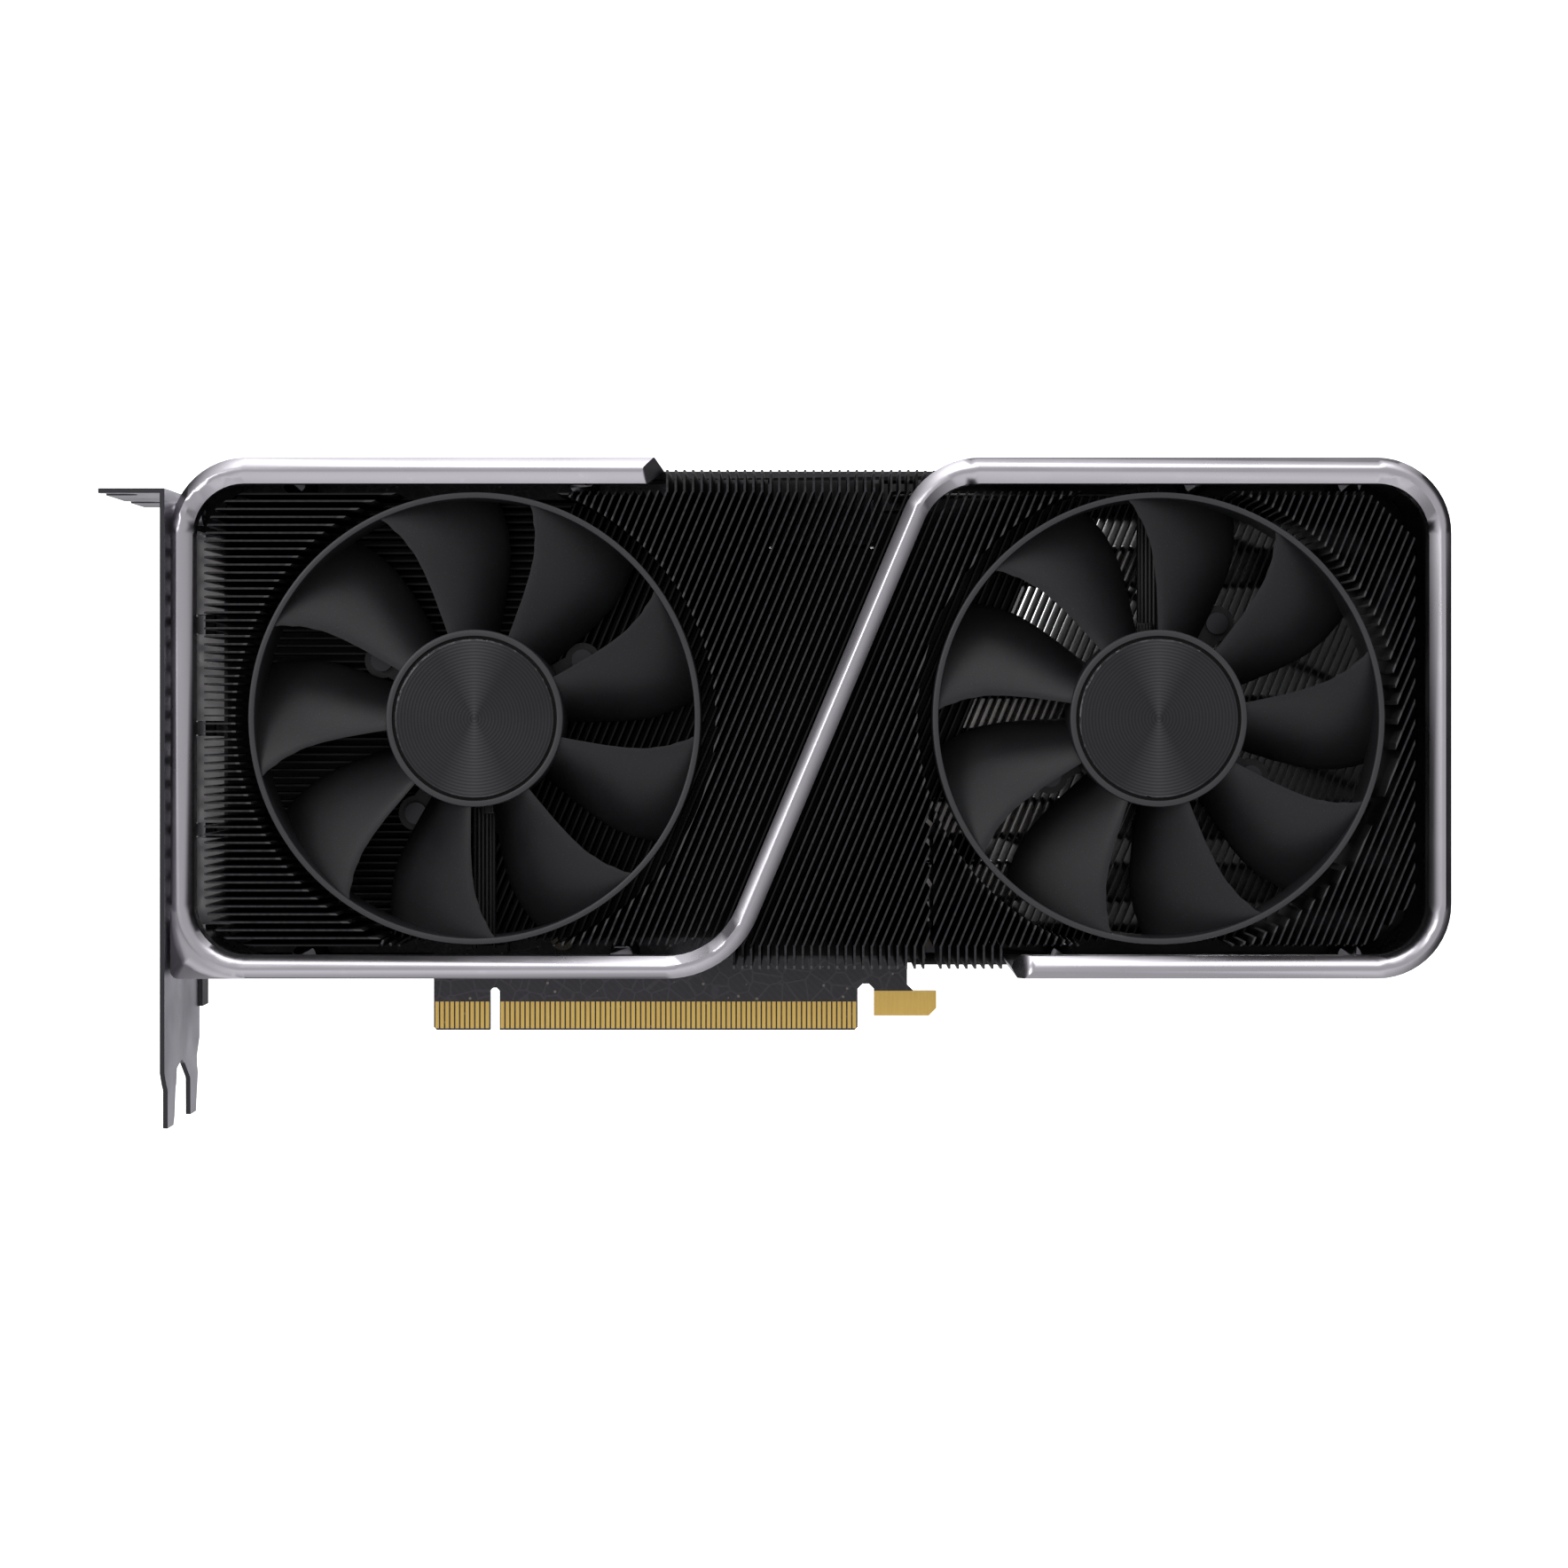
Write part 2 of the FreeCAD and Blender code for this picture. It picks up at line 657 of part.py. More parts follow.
def endFaces():
    """The slanted faces that finish the ridge at its two ends."""
    tools = []
    for end in rim_ends:
        x, z = end["ridge"]
        corners = []
        for deep, high in ((-1, -8), (-1, 8), (9, 8), (9, -8)):
            corners.append(V(x + end["way"] * end["deep"] * deep + 0.34 * high,
                             number("front_face") + deep, z + high))
        face = Part.Face(Part.makePolygon(corners + corners[:1]))
        tools.append(face.extrude(V(end["way"] * 14, 0, 0)))
    return tools


# left and right offsets at each of the fourteen stations along the ridge line
foot_left = [ridge_half + wide[0] for wide in bevels]
foot_right = [ridge_half + wide[1] for wide in bevels]
flat = [ridge_half] * len(bevels)


def frontFrame():
    y_top, y_foot, y_back = number("front_face"), number("bevel_foot"), number("rim_back")
    y_end, wall = number("wall_back"), number("wall")
    foot = ribbon(foot_left, foot_right, y_foot)
    top = ribbon(flat, flat, y_top)
    bevel = Part.makeLoft([foot, top], True, True)
    rim = Part.Face(ribbon(foot_left, foot_right, y_back))
    body = rim.extrude(V(0, y_foot - y_back, 0))
    # side walls behind the rim, on the outside of each loop
    wall_left_out = foot_right
    wall_left_in = [wall - out for out in foot_right]
    walls = [Part.Face(ribbon(wall_left_in, wall_left_out, y_back, 0, 4)),
             Part.Face(ribbon(foot_left, [wall - out for out in foot_left], y_back, 8, 12))]
    deep = V(0, y_end - y_back, 0)
    pieces = [bevel, body] + [face.extrude(deep) for face in walls]
    # the lower left corner is square behind the rim
    left, low, radius = number("case_left"), number("case_low"), number("corner_radius")
    corner = solid(left, y_foot - 0.4, low, left + radius, y_end, low + radius)
    upright = [e for e in corner.Edges
               if e.BoundBox.XMax < left + 0.01 and e.BoundBox.ZMax < low + 0.01]
    corner = corner.makeFillet(number("square_radius"), upright)
    hollow = barrel(left + radius, low + radius, radius - wall, y_foot - 1, y_end + 1)
    pieces.append(corner.cut(hollow))
    # bosses for the screws that come through the rear cover, and through the bracket
    pieces += [barrel(x, z, 2.3, y_end - 10.4, y_end) for x, z in frame_screw_spots]
    pieces += [Part.makeCylinder(2.2, 5.0, V(left - 0.6, y, z), V(1, 0, 0))
               for y, z in bracket_screw_spots[:2]]
    frame = pieces[0].multiFuse(pieces[1:])
    # the left wall is open where the display sockets and the vents of the bracket are
    holes = [solid(left - 1, y_back + 2.0, 20.5, left + wall + 2.5, y_end + 1, 98.2)]
    holes += [barrel(x, z, 1.25, y_end - 9, y_end + 1) for x, z in frame_screw_spots]
    holes += beyondEnds() + endFaces()
    holes += [Part.makeCylinder(1.3, 6.5, V(left - 1, y, z), V(1, 0, 0))
              for y, z in bracket_screw_spots[:2]]
    return largest(frame.cut(Part.makeCompound(holes)).removeSplitter())


feature("front_frame", frontFrame())

# ---- rear cover ----------------------------------------------------------------------------------

cover = newBody("rear_cover", y=s.cover_outer)
pad(cover, "XZ_Plane", [rect(s.case_left, s.case_low, s.case_right, s.case_high)],
    s.cover_outer - s.wall_back)


def cornerEdges(shape, spots):
    """Names of the edges along Y at the given corners."""
    names = []
    for index, edge in enumerate(shape.Edges, 1):
        box_ = edge.BoundBox
        if box_.YLength > 1 and box_.XLength < 0.01 and box_.ZLength < 0.01:
            if any(abs(box_.XMin - x.number) < 0.1 and abs(box_.ZMin - z.number) < 0.1 for x, z in spots):
                names.append(f"Edge{index}")
    return names


def roundCorners(body, spots, radius):
    tip = body.Tip
    fillet = body.newObject("PartDesign::Fillet", body.Label + "_corners")
    fillet.Base = (tip, cornerEdges(tip.Shape, spots))
    bind(fillet, Radius=radius)
    doc.recompute()
    return fillet


roundCorners(cover, [(s.case_left, s.case_high), (s.case_right, s.case_high), (s.case_right, s.case_low)],
             s.corner_radius)
roundCorners(cover, [(s.case_left, s.case_low)], s.square_radius)
cover_thick = s.cover_outer - s.cover_inner
sunkPocket(cover, "XZ_Plane", [[
    (s.case_left + s.wall, s.case_low + s.wall),
    (s.case_right - 9.0, s.case_low + s.wall),
    (s.case_right - s.wall, s.case_low + 9.0),
    (s.case_right - s.wall, s.case_high - 9.0),
    (s.case_right - 9.0, s.case_high - s.wall),
    (s.case_left + 9.0, s.case_high - s.wall),
    (s.case_left + s.wall, s.case_high - 9.0),
]], cover_thick, 20)
# the connector leaves through the lower lip
sunkPocket(cover, "XZ_Plane", [rect(s.tongue_left - 1.2, s.case_low - 1, neck_right + 1.2,
                                    s.case_low + s.wall + 0.1)], cover_thick, 20)
window_left, window_right, window_low, window_high = 97.0, 174.0, 22.0, 102.0
pocket(cover, "XZ_Plane", [
    [(window_left + 8, window_low), (window_right - 8, window_low), (window_right, window_low + 8),
     (window_right, window_high - 8), (window_right - 8, window_high), (window_left + 20, window_high),
     (window_left, window_high - 16), (window_left, window_low + 8)],
    rect(s.chip_x - 36, s.chip_z - 36, s.chip_x + 36, s.chip_z + 36),
])
pad(cover, "XZ_Plane", [(x, z, 3.0) for x, z in screw_spots], s.cover_outer - half)
pocket(cover, "XZ_Plane", [(x, z, 1.5) for x, z in screw_spots])
pad(cover, "XZ_Plane", [(x, z, 2.4) for x, z in frame_screw_spots], s.cover_outer - s.wall_back)
pocket(cover, "XZ_Plane", [(x, z, 1.4) for x, z in frame_screw_spots])
pocket(cover, "XZ_Plane", [(x, z, 2.3) for x, z in screw_spots + frame_screw_spots], 1.0,
       reverse=True)
# a lug stands between the casing and the bracket, below the board
lug_back, lug_front = 1.4, -4.2
pad(cover, "XZ_Plane", [rect(bracket_in, 5.1, s.case_left, s.case_low + 6)], lug_back - lug_front,
    start=s.cover_outer - lug_back)
pocket(cover, "YZ_Plane", [(size(lug_spot[0]) - s.cover_outer, lug_spot[1], 1.3)])

group("cover_screws", [
    fuse("cover_screw", [
        rod("cover_head", "Y", x, s.cover_outer - 1.0, z, 2.2, 1.0),
        rod("cover_shank", "Y", x, -4.6, z, 0.95, s.cover_outer - 0.5 + 4.6),
    ]) for x, z in screw_spots])
group("frame_screws", [
    fuse("frame_screw", [
        rod("frame_head", "Y", x, s.cover_outer - 1.0, z, 2.2, 1.0),
        rod("frame_shank", "Y", x, -8.0, z, 1.15, s.cover_outer - 0.5 + 8.0),
    ]) for x, z in frame_screw_spots])
group("board_standoffs", [
    cut("standoff", rod("standoff_post", "Y", x, s.plate_front, z, 2.4, -half - s.plate_front),
        [rod("standoff_hole", "Y", x, s.plate_front - 1, z, 1.0, 9)])
    for x, z in screw_spots])

# ---- spring plate behind the processor -----------------------------------------------------------

spring_back, spring_thick, arm_half = 2.6, 0.8, 4.2


def springPlate():
    cx, cz, reach = number("chip_x"), number("chip_z"), spring_reach
    arms = [Part.makeBox(2 * (reach * math.sqrt(2) + 4), spring_thick, 2 * arm_half,
                         V(-(reach * math.sqrt(2) + 4), 0, -arm_half)) for _ in (45, -45)]
    for arm, angle in zip(arms, (45, -45)):
        arm.rotate(V(0, 0, 0), V(0, 1, 0), angle)
        arm.translate(V(cx, spring_back - spring_thick, cz))
    plate = arms[0].fuse(arms[1])
    plate = plate.fuse(barrel(cx, cz, 15.0, spring_back - spring_thick, spring_back))
    feet = [barrel(cx + dx * reach, cz + dz * reach, 4.0, number("board_half"), spring_back)
            for dx in (-1, 1) for dz in (-1, 1)]
    plate = plate.multiFuse(feet)
    holes = [barrel(cx + dx * reach, cz + dz * reach, 1.8, -1, 6) for dx in (-1, 1) for dz in (-1, 1)]
    return plate.cut(Part.makeCompound(holes + [barrel(cx, cz, 8.5, 0, 6)])).removeSplitter()


feature("spring_plate", springPlate())
group("spring_screws", [
    fuse("spring_screw", [
        rod("spring_head", "Y", x, 2.6, z, 3.2, 1.6),
        rod("spring_shank", "Y", x, -3.0, z, 1.4, 6.0),
    ]) for x, z in spring_spots])

# ---- cold plate and heat pipes --------------------------------------------------------------------

plate_left, plate_right, plate_low, plate_high = 0.0, 86.2, 22.0, 95.4
cold = newBody("cold_plate", y=s.plate_back)
pad(cold, "XZ_Plane", [rect(plate_left, plate_low, plate_right, plate_high)],
    s.plate_back - s.plate_front)
pad(cold, "XZ_Plane", [(x, z, 2.9) for x, z in spring_spots], -half - s.plate_back, reverse=True)
pocket(cold, "XZ_Plane", [(x, z, 1.5) for x, z in spring_spots], 2.4)

pipe_heights = [30.0, 42.5, 63.0, 92.0]
pipe_left, pipe_right = 4.0, 172.0
pipe_round = s.pipe_thick * 0.5
pipe_flat = s.pipe_wide - s.pipe_thick
sunkPocket(cold, "XZ_Plane", [
    rect(plate_left - 1, z - s.pipe_wide * 0.5 - 0.1, plate_right + 1, z + s.pipe_wide * 0.5 + 0.1)
    for z in pipe_heights], s.plate_back - s.plate_front, s.pipe_thick, reverse=False)
group("heat_pipes", [
    fuse("heat_pipe", [
        box("pipe_flat", pipe_left, s.plate_front, z - pipe_flat * 0.5,
            pipe_right - pipe_left, s.pipe_thick, pipe_flat),
        rod("pipe_edge", "X", pipe_left, s.plate_front + pipe_round, z - pipe_flat * 0.5,
            pipe_round, pipe_right - pipe_left),
        rod("pipe_edge", "X", pipe_left, s.plate_front + pipe_round, z + pipe_flat * 0.5,
            pipe_round, pipe_right - pipe_left),
    ]) for z in pipe_heights])

# ---- fin stacks --------------------------------------------------------------------------------

loop_low, loop_high = 18.83, 105.0
open_low, open_high = 14.7, 108.9
open_left, open_right = 35.4, 87.0
bottom_left, bottom_right = 48.0, 99.8
fins_left, fins_right = -52.0, 176.9
split_left, split_right = number("left_fan"), 93.0
fan_spots = [(number("left_fan"), 0), (number("right_fan"), 180)]


def cornerArc(x, z, radius, start):
    """A quarter round of the outline's corner, from its centre and first angle."""
    return [(x + radius * math.cos(math.radians(start + step)),
             z + radius * math.sin(math.radians(start + step))) for step in range(0, 91, 15)]


def bentTips(first, last, z_bend, z_end, x_from, x_to, y_back, y_front):
    """Upright ends of the slanted fins, past the height at which they bend."""
    pitch, thick = number("fin_pitch"), number("fin_thick") / math.cos(slant)
    lap = 0.3 if z_end > z_bend else -0.3
    low, high = sorted((z_bend - lap, z_end))
    tips, at = [], first
    while at <= last:
        x = (at + z_bend * math.sin(slant)) / math.cos(slant)
        if x_from <= x and x + thick <= x_to:
            tips.append(solid(x - 0.02, y_front + 0.05, low, x + thick + 0.02, y_back, high))
        at += pitch
    return tips


def aslant(x, z):
    """x of a line parallel to the slanted bar through (x, bar_z), at height z."""
    return x + (z - bar_z) * math.tan(slant)


def comb(along, across_from, across_to, y_back, base, y_front):
    """Fins on a base sheet: the comb's outline lies across the fins and is drawn out along them."""
    pitch, thick = number("fin_pitch"), number("fin_thick")
    y_base = y_back - base
    outline = [(across_from, y_back), (across_from, y_base)]
    at = across_from
    while at + thick <= across_to:
        outline += [(at, y_base), (at, y_front), (at + thick, y_front), (at + thick, y_base)]
        at += pitch
    outline += [(across_to, y_base), (across_to, y_back)]
    points = [V(u, y, 0) for u, y in outline]
    points = [p for p, q in zip(points, points[1:] + points[:1]) if not p.isEqual(q, 1e-6)]
    face = Part.Face(Part.makePolygon(points + points[:1]))
    return face.extrude(V(0, 0, along))


def plates(along, across_from, across_to, y_back, y_front):
    """Loose fins, to be tied together by strips."""
    pitch, thick = number("fin_pitch"), number("fin_thick")
    count = int((across_to - across_from - thick) / pitch) + 1
    return [Part.makeBox(thick, y_back - y_front, along, V(across_from + i * pitch, y_front, 0))
            for i in range(count)]


def fanBosses(x, turned_by):
    """Centres of the three screw bosses of a fan."""
    spots = []
    for angle in (30, 150, 235):
        angle = math.radians(angle + turned_by)
        spots.append((x + number("boss_radius") * math.cos(angle),
                      number("fan_high") + number("boss_radius") * math.sin(angle)))
    return spots


def cutters():
    """Everything that fins make room for."""
    front, floor = number("fin_front") - 6, number("well_floor")
    tools = [barrel(x, number("fan_high"), number("well_radius"), front, floor) for x, _ in fan_spots]
    thick, wide = number("pipe_thick") + 0.1, number("pipe_wide") / 2 + 0.15
    tools += [solid(pipe_left, number("plate_front"), z - wide,
                    pipe_right + 0.5, number("plate_front") + thick, z + wide) for z in pipe_heights]
    clear = 2.0
    around = Part.Face(ribbon([w + clear for w in foot_left], [w + clear for w in foot_right],
                              number("rim_back") + 0.3))
    tools.append(around.extrude(V(0, -9, 0)).cut(Part.makeCompound(beyondEnds())))
    # the power socket, the display sockets and the two fan leads
    tools.append(solid(power_left - 0.6, power_back - power_deep - 0.6, power_low - 0.6,
                       power_left + power_wide + 0.6, 2, 112))
    tools.append(solid(-60, port_front - 1.2, 12, number("bracket_out") + port_depth + 2, 0, 112))
    tools.append(solid(-2.4, floor - 1, 16.4, 2.4, 0, 20.4))
    tools.append(solid(77.0, -12.6, 102.2, 130.6, -7.0, 109.2))
    tools.append(solid(77.0, -12.6, 102.2, 84.0, 0, 109.2))
    tools.append(solid(125.4, floor - 1, 103.4, 130.6, -7.0, 109.2))
    return Part.makeCompound(tools)


CUTTERS = cutters()


def withPosts(fins, spots, y_back):
    """Adds the threaded posts that a fan is screwed to."""
    top, deep, radius, bore = number("fan_back"), 6.0, 3.0, 1.05
    fins = fins.multiFuse([barrel(x, z, radius, top, y_back) for x, z in spots])
    return fins.cut(Part.makeCompound([barrel(x, z, bore, top - 1, top + deep) for x, z in spots]))


LEFT_BOSSES = fanBosses(*fan_spots[0])
RIGHT_BOSSES = fanBosses(*fan_spots[1])


def leftFins():
    y_back, y_front = number("plate_front"), number("fin_front")
    long = aslant(split_left, loop_high) - fins_left
    fins = comb(long, loop_low, loop_high, y_back, number("fin_base"), y_front)
    # the outline's u runs along X and its length along Z: turn it so that the fins lie along X
    fins.rotate(V(0, 0, 0), V(0, 1, 0), -90)
    fins.translate(V(fins_left, 0, 0) + V(long, 0, 0))
    bend = 9.5
    outline = [(aslant(split_left, loop_low) - 0.4, loop_low),
               (aslant(split_left, loop_high) - 0.4, loop_high)]
    outline += cornerArc(fins_left + bend, loop_high - bend, bend, 90)
    outline += cornerArc(fins_left + bend, loop_low + bend, bend, 180)
    limit = region(outline, y_back, y_front - 1)
    # a sheet closes the fins' feet where they stand clear of the sockets
    sheet = solid(fins_left, port_front - 2.2, loop_low, number("bracket_out") + port_depth + 2,
                  port_front - 1.2, loop_high)
    fins = fins.multiFuse([sheet]).common(limit).cut(CUTTERS)
    return largest(withPosts(fins, LEFT_BOSSES[1:], y_back))


def slanted(shape):
    """Turns a shape whose fins stand upright so that they lean like the bar."""
    shape.rotate(V(0, 0, 0), V(0, 1, 0), number("fin_slant"))
    return shape


def across(x, z):
    """Distance across the slanted fins from the origin."""
    return x * math.cos(slant) - z * math.sin(slant)


# the right fins go on in step with the centre ones, and stand clear of the board's end
right_clear = 86.0
centre_start = across(split_left, bar_z)
right_start = centre_start + number("fin_pitch") * math.ceil(
    (across(split_right, bar_z) - centre_start) / number("fin_pitch"))


def centreFins():
    y_back, y_front = number("plate_front"), number("fin_front")
    right = right_clear - 0.6
    start, end = centre_start, across(right, loop_low)
    fins = comb(160, start, end, y_back, number("fin_base"), y_front)
    fins = slanted(fins)
    edge_left = split_left - 60
    edge_right = (right_start - 0.4 + bar_z * math.sin(slant)) / math.cos(slant)
    meet = bar_z + (right - edge_right) / math.tan(slant)
    limit = region([(edge_left, loop_low), (right, loop_low), (right, meet),
                    (aslant(edge_right, loop_high), loop_high), (edge_left, loop_high)],
                   y_back, y_front - 1)
    fins = fins.common(limit)
    y_base = y_back - number("fin_base")
    tips = bentTips(start, end, loop_high, open_high, open_left, open_right, y_base, y_front)
    tips += bentTips(start, end, loop_low, open_low, bottom_left, right - 0.1, y_base, y_front)
    tips.append(solid(open_left, y_base, loop_high - 0.4, open_right, y_back, open_high))
    tips.append(solid(bottom_left, y_base, open_low, right, y_back, loop_low + 0.4))
    fins = fins.multiFuse(tips).cut(CUTTERS)
    return largest(withPosts(fins, LEFT_BOSSES[:1], y_back))


def rightFins():
    y_back, y_front = 1.0, number("fin_front")
    start, end = right_start, across(fins_right + 20, loop_low)
    fins = plates(140, start, end, y_back, y_front)
    for piece in fins:
        piece.translate(V(0, 0, 40))
    strips = [Part.makeBox(end - start, 0.8, 1.6, V(start, y_back - 0.8, at))
              for at in (74.0, 92.0, 110.0, 128.0, 146.0)]
    for piece in fins + strips:
        slanted(piece)
    fins = Part.makeCompound(fins)
    round_ = 9.0
    limit = region([(right_clear, loop_low), (fins_right - round_, loop_low),
                    (fins_right, loop_low + round_), (fins_right, loop_high - round_),
                    (fins_right - round_, loop_high), (right_clear, loop_high)],
                   y_back, y_front - 1)
    limit = limit.cut(solid(60, number("plate_front"), 0, number("board_right") + 2, 3, 120))
    fins = fins.common(limit).cut(CUTTERS)
    strips = Part.makeCompound(strips).common(limit).cut(CUTTERS)
    tips = bentTips(start, end, loop_low, open_low, right_clear + 0.1, bottom_right,
                    number("plate_front") - 0.2, y_front)
    whole = fins.Solids[0].multiFuse(fins.Solids[1:] + strips.Solids + tips)
    return largest(withPosts(whole, RIGHT_BOSSES, y_back))


feature("left_fins", leftFins())
feature("centre_fins", centreFins())
feature("right_fins", rightFins())

# ---- fans: the right one is the left one turned half round -------------------------------------

blade_count, blade_sweep, blade_thick = 9, 30.0, 1.1
hub_front, cap_seat, hub_back = -33.2, -32.7, -21.2
ring_wall, ring_back = 1.15, -22.4
blade_front, blade_back = -32.6, -21.0
strut_left, strut_right, strut_end = -1.6, 2.45, 44.4
base_front, base_back = -19.6, number("fan_back")
wire_radius, wire_step, wire_count = 0.35, 0.75, 4


def bladeSection(radius):
    """The blade's cross-section at a radius: leading edge in front, trailing edge behind."""
    lag = 7.4 if radius < 28 else 7.4 * (1 - ((radius - 28) / 14.0) ** 1.6)
    lead = math.radians(-lag)
    trail = lead - math.radians(blade_sweep)
    a = V(radius * math.cos(lead), blade_front, radius * math.sin(lead))
    b = V(radius * math.cos(trail), blade_back, radius * math.sin(trail))
    middle = (lead + trail) / 2
    outward = V(math.cos(middle), 0, math.sin(middle))
    across_ = (b - a).cross(outward).normalize() * blade_thick
    return Part.makePolygon([a, b, b + across_, a + across_, a])


def rotorShape():
    """Hub, blades and ring, moulded in one; the first blade's tip is on +X."""
    hub, cap = number("hub_radius"), number("cap_radius")
    inner = hub - 1.2
    cup = barrel(0, 0, hub, hub_front, hub_back)
    cup = cup.cut(barrel(0, 0, inner, cap_seat + 1.2, hub_back + 1))
    cup = cup.cut(barrel(0, 0, cap + 0.5, hub_front - 1, cap_seat))
    ring = barrel(0, 0, number("ring_radius"), hub_front, ring_back)
    ring = ring.cut(barrel(0, 0, number("ring_radius") - ring_wall, hub_front - 1, ring_back + 1))
    radii = (inner + 0.8, 20.0, 24.0, 28.0, 32.0, 36.0, 39.0, number("ring_radius") - 0.6)
    blade = Part.makeLoft([bladeSection(r) for r in radii], True, True)
    limits = barrel(0, 0, number("ring_radius") - 0.4, hub_front, hub_back + 2)
    blade = blade.common(limits)
    blades = []
    for i in range(blade_count):
        one = blade.copy()
        one.rotate(V(0, 0, 0), V(0, -1, 0), 360 / blade_count * i)
        blades.append(one)
    return cup.multiFuse([ring] + blades).removeSplitter()


def roundedRoute(points, radius):
    """Straight runs joined by tangent arcs, as one wire."""
    edges, here = [], points[0]
    for i in range(1, len(points) - 1):
        corner = points[i]
        before, after = (points[i - 1] - corner).normalize(), (points[i + 1] - corner).normalize()
        start, end = corner + before * radius, corner + after * radius
        middle = corner + (before + after) * radius - (before + after).normalize() * radius
        edges += [Part.LineSegment(here, start).toShape(), Part.Arc(start, middle, end).toShape()]
        here = end
    edges.append(Part.LineSegment(here, points[-1]).toShape())
    return Part.Wire(edges)


def wire(points, radius):
    path = roundedRoute(points, 2.2)
    first = (points[1] - points[0]).normalize()
    section = Part.Wire(Part.Circle(points[0], first, radius).toShape())
    tube = path.makePipeShell([section], True, True)
    expected = math.pi * radius ** 2 * path.Length
    if abs(tube.Volume / expected - 1) > 0.03:
        print("lead volume off by", round(tube.Volume / expected - 1, 3))
    return tube


def leadShape(side):
    """The fan's four wires, along the strut, back through the fins and to the board."""
    cx, cz = number("left_fan" if side == "left" else "right_fan"), number("fan_high")
    way = -1 if side == "left" else 1
    x0 = cx + (strut_left + strut_right) / 2 * -way
    wires, depth = [], base_front + 0.5
    for i in range(wire_count):
        off = (i - (wire_count - 1) / 2) * wire_step
        start = V(x0 + off, depth, cz + way * 10)
        if side == "left":
            turn = V(x0 + off, depth, 18.4)
            points = [start, turn, V(turn.x, -3.0, turn.z)]
        else:
            x, y, z = 80.4, -9.8, 105.6
            points = [start, V(x0 + off, depth, z), V(x0 + off, y + off, z),
                      V(x - off, y + off, z), V(x - off, -3.0, z)]
        wires.append(wire(points, wire_radius))
    return Part.makeCompound(wires)


def fanBaseShape():
    """Motor plate with the bearing tube, three ears and the strut that carries the wires."""
    plate = barrel(0, 0, 15.2, base_front, base_back)
    pieces = [barrel(0, 0, 3.3, -28.9, base_back)]
    for x, z in fanBosses(0, 0):
        z -= number("fan_high")
        angle = math.degrees(math.atan2(z, x))
        arm = solid(10, base_front + 0.6, -2.2, number("boss_radius"), base_back, 2.2)
        arm.rotate(V(0, 0, 0), V(0, -1, 0), angle)
        pieces += [arm, barrel(x, z, 3.4, base_front + 0.6, base_back)]
    pieces.append(solid(strut_left, base_front, -strut_end, strut_right, base_back, -8))
    base = plate.multiFuse(pieces)
    middle = (strut_left + strut_right) / 2
    holes = [barrel(0, 0, 2.6, -30, -19.2),
             solid(middle - 1.6, base_front - 1, -strut_end - 1, middle + 1.6, base_front + 1.0, -9.0)]
    holes += [barrel(x, z - number("fan_high"), 1.2, -22, -12) for x, z in fanBosses(0, 0)]
    # room for the wires to turn back at the strut's end
    holes.append(solid(middle - 1.7, base_front - 1, -strut_end - 1, middle + 1.7, base_back + 1, -41.4))
    return largest(base.cut(Part.makeCompound(holes)).removeSplitter())


def coreShape():
    """Laminated core with six poles."""
    y1, y2 = -28.4, -23.4
    core = barrel(0, 0, 6.0, y1, y2)
    rim = barrel(0, 0, 12.6, y1, y2).cut(barrel(0, 0, 11.2, y1 - 1, y2 + 1))
    slots, teeth = [], []
    for i in range(6):
        tooth = solid(4, y1, -1.4, 11.8, y2, 1.4)
        slot = solid(10, y1 - 1, -0.9, 14, y2 + 1, 0.9)
        tooth.rotate(V(0, 0, 0), V(0, 1, 0), 60 * i)
        slot.rotate(V(0, 0, 0), V(0, 1, 0), 60 * i + 30)
        teeth.append(tooth)
        slots.append(slot)
    core = core.multiFuse([rim] + teeth)
    return core.cut(Part.makeCompound(slots + [barrel(0, 0, 3.35, -30, -20)]))


def coilShapes():
    """One winding on each pole."""
    coils = []
    for i in range(6):
        coil = solid(6.4, -29.4, -2.4, 10.8, -22.4, 2.4).cut(solid(6, -28.45, -1.45, 11.2, -23.35, 1.45))
        coil.rotate(V(0, 0, 0), V(0, 1, 0), 60 * i)
        coils.append(coil)
    return Part.makeCompound(coils)


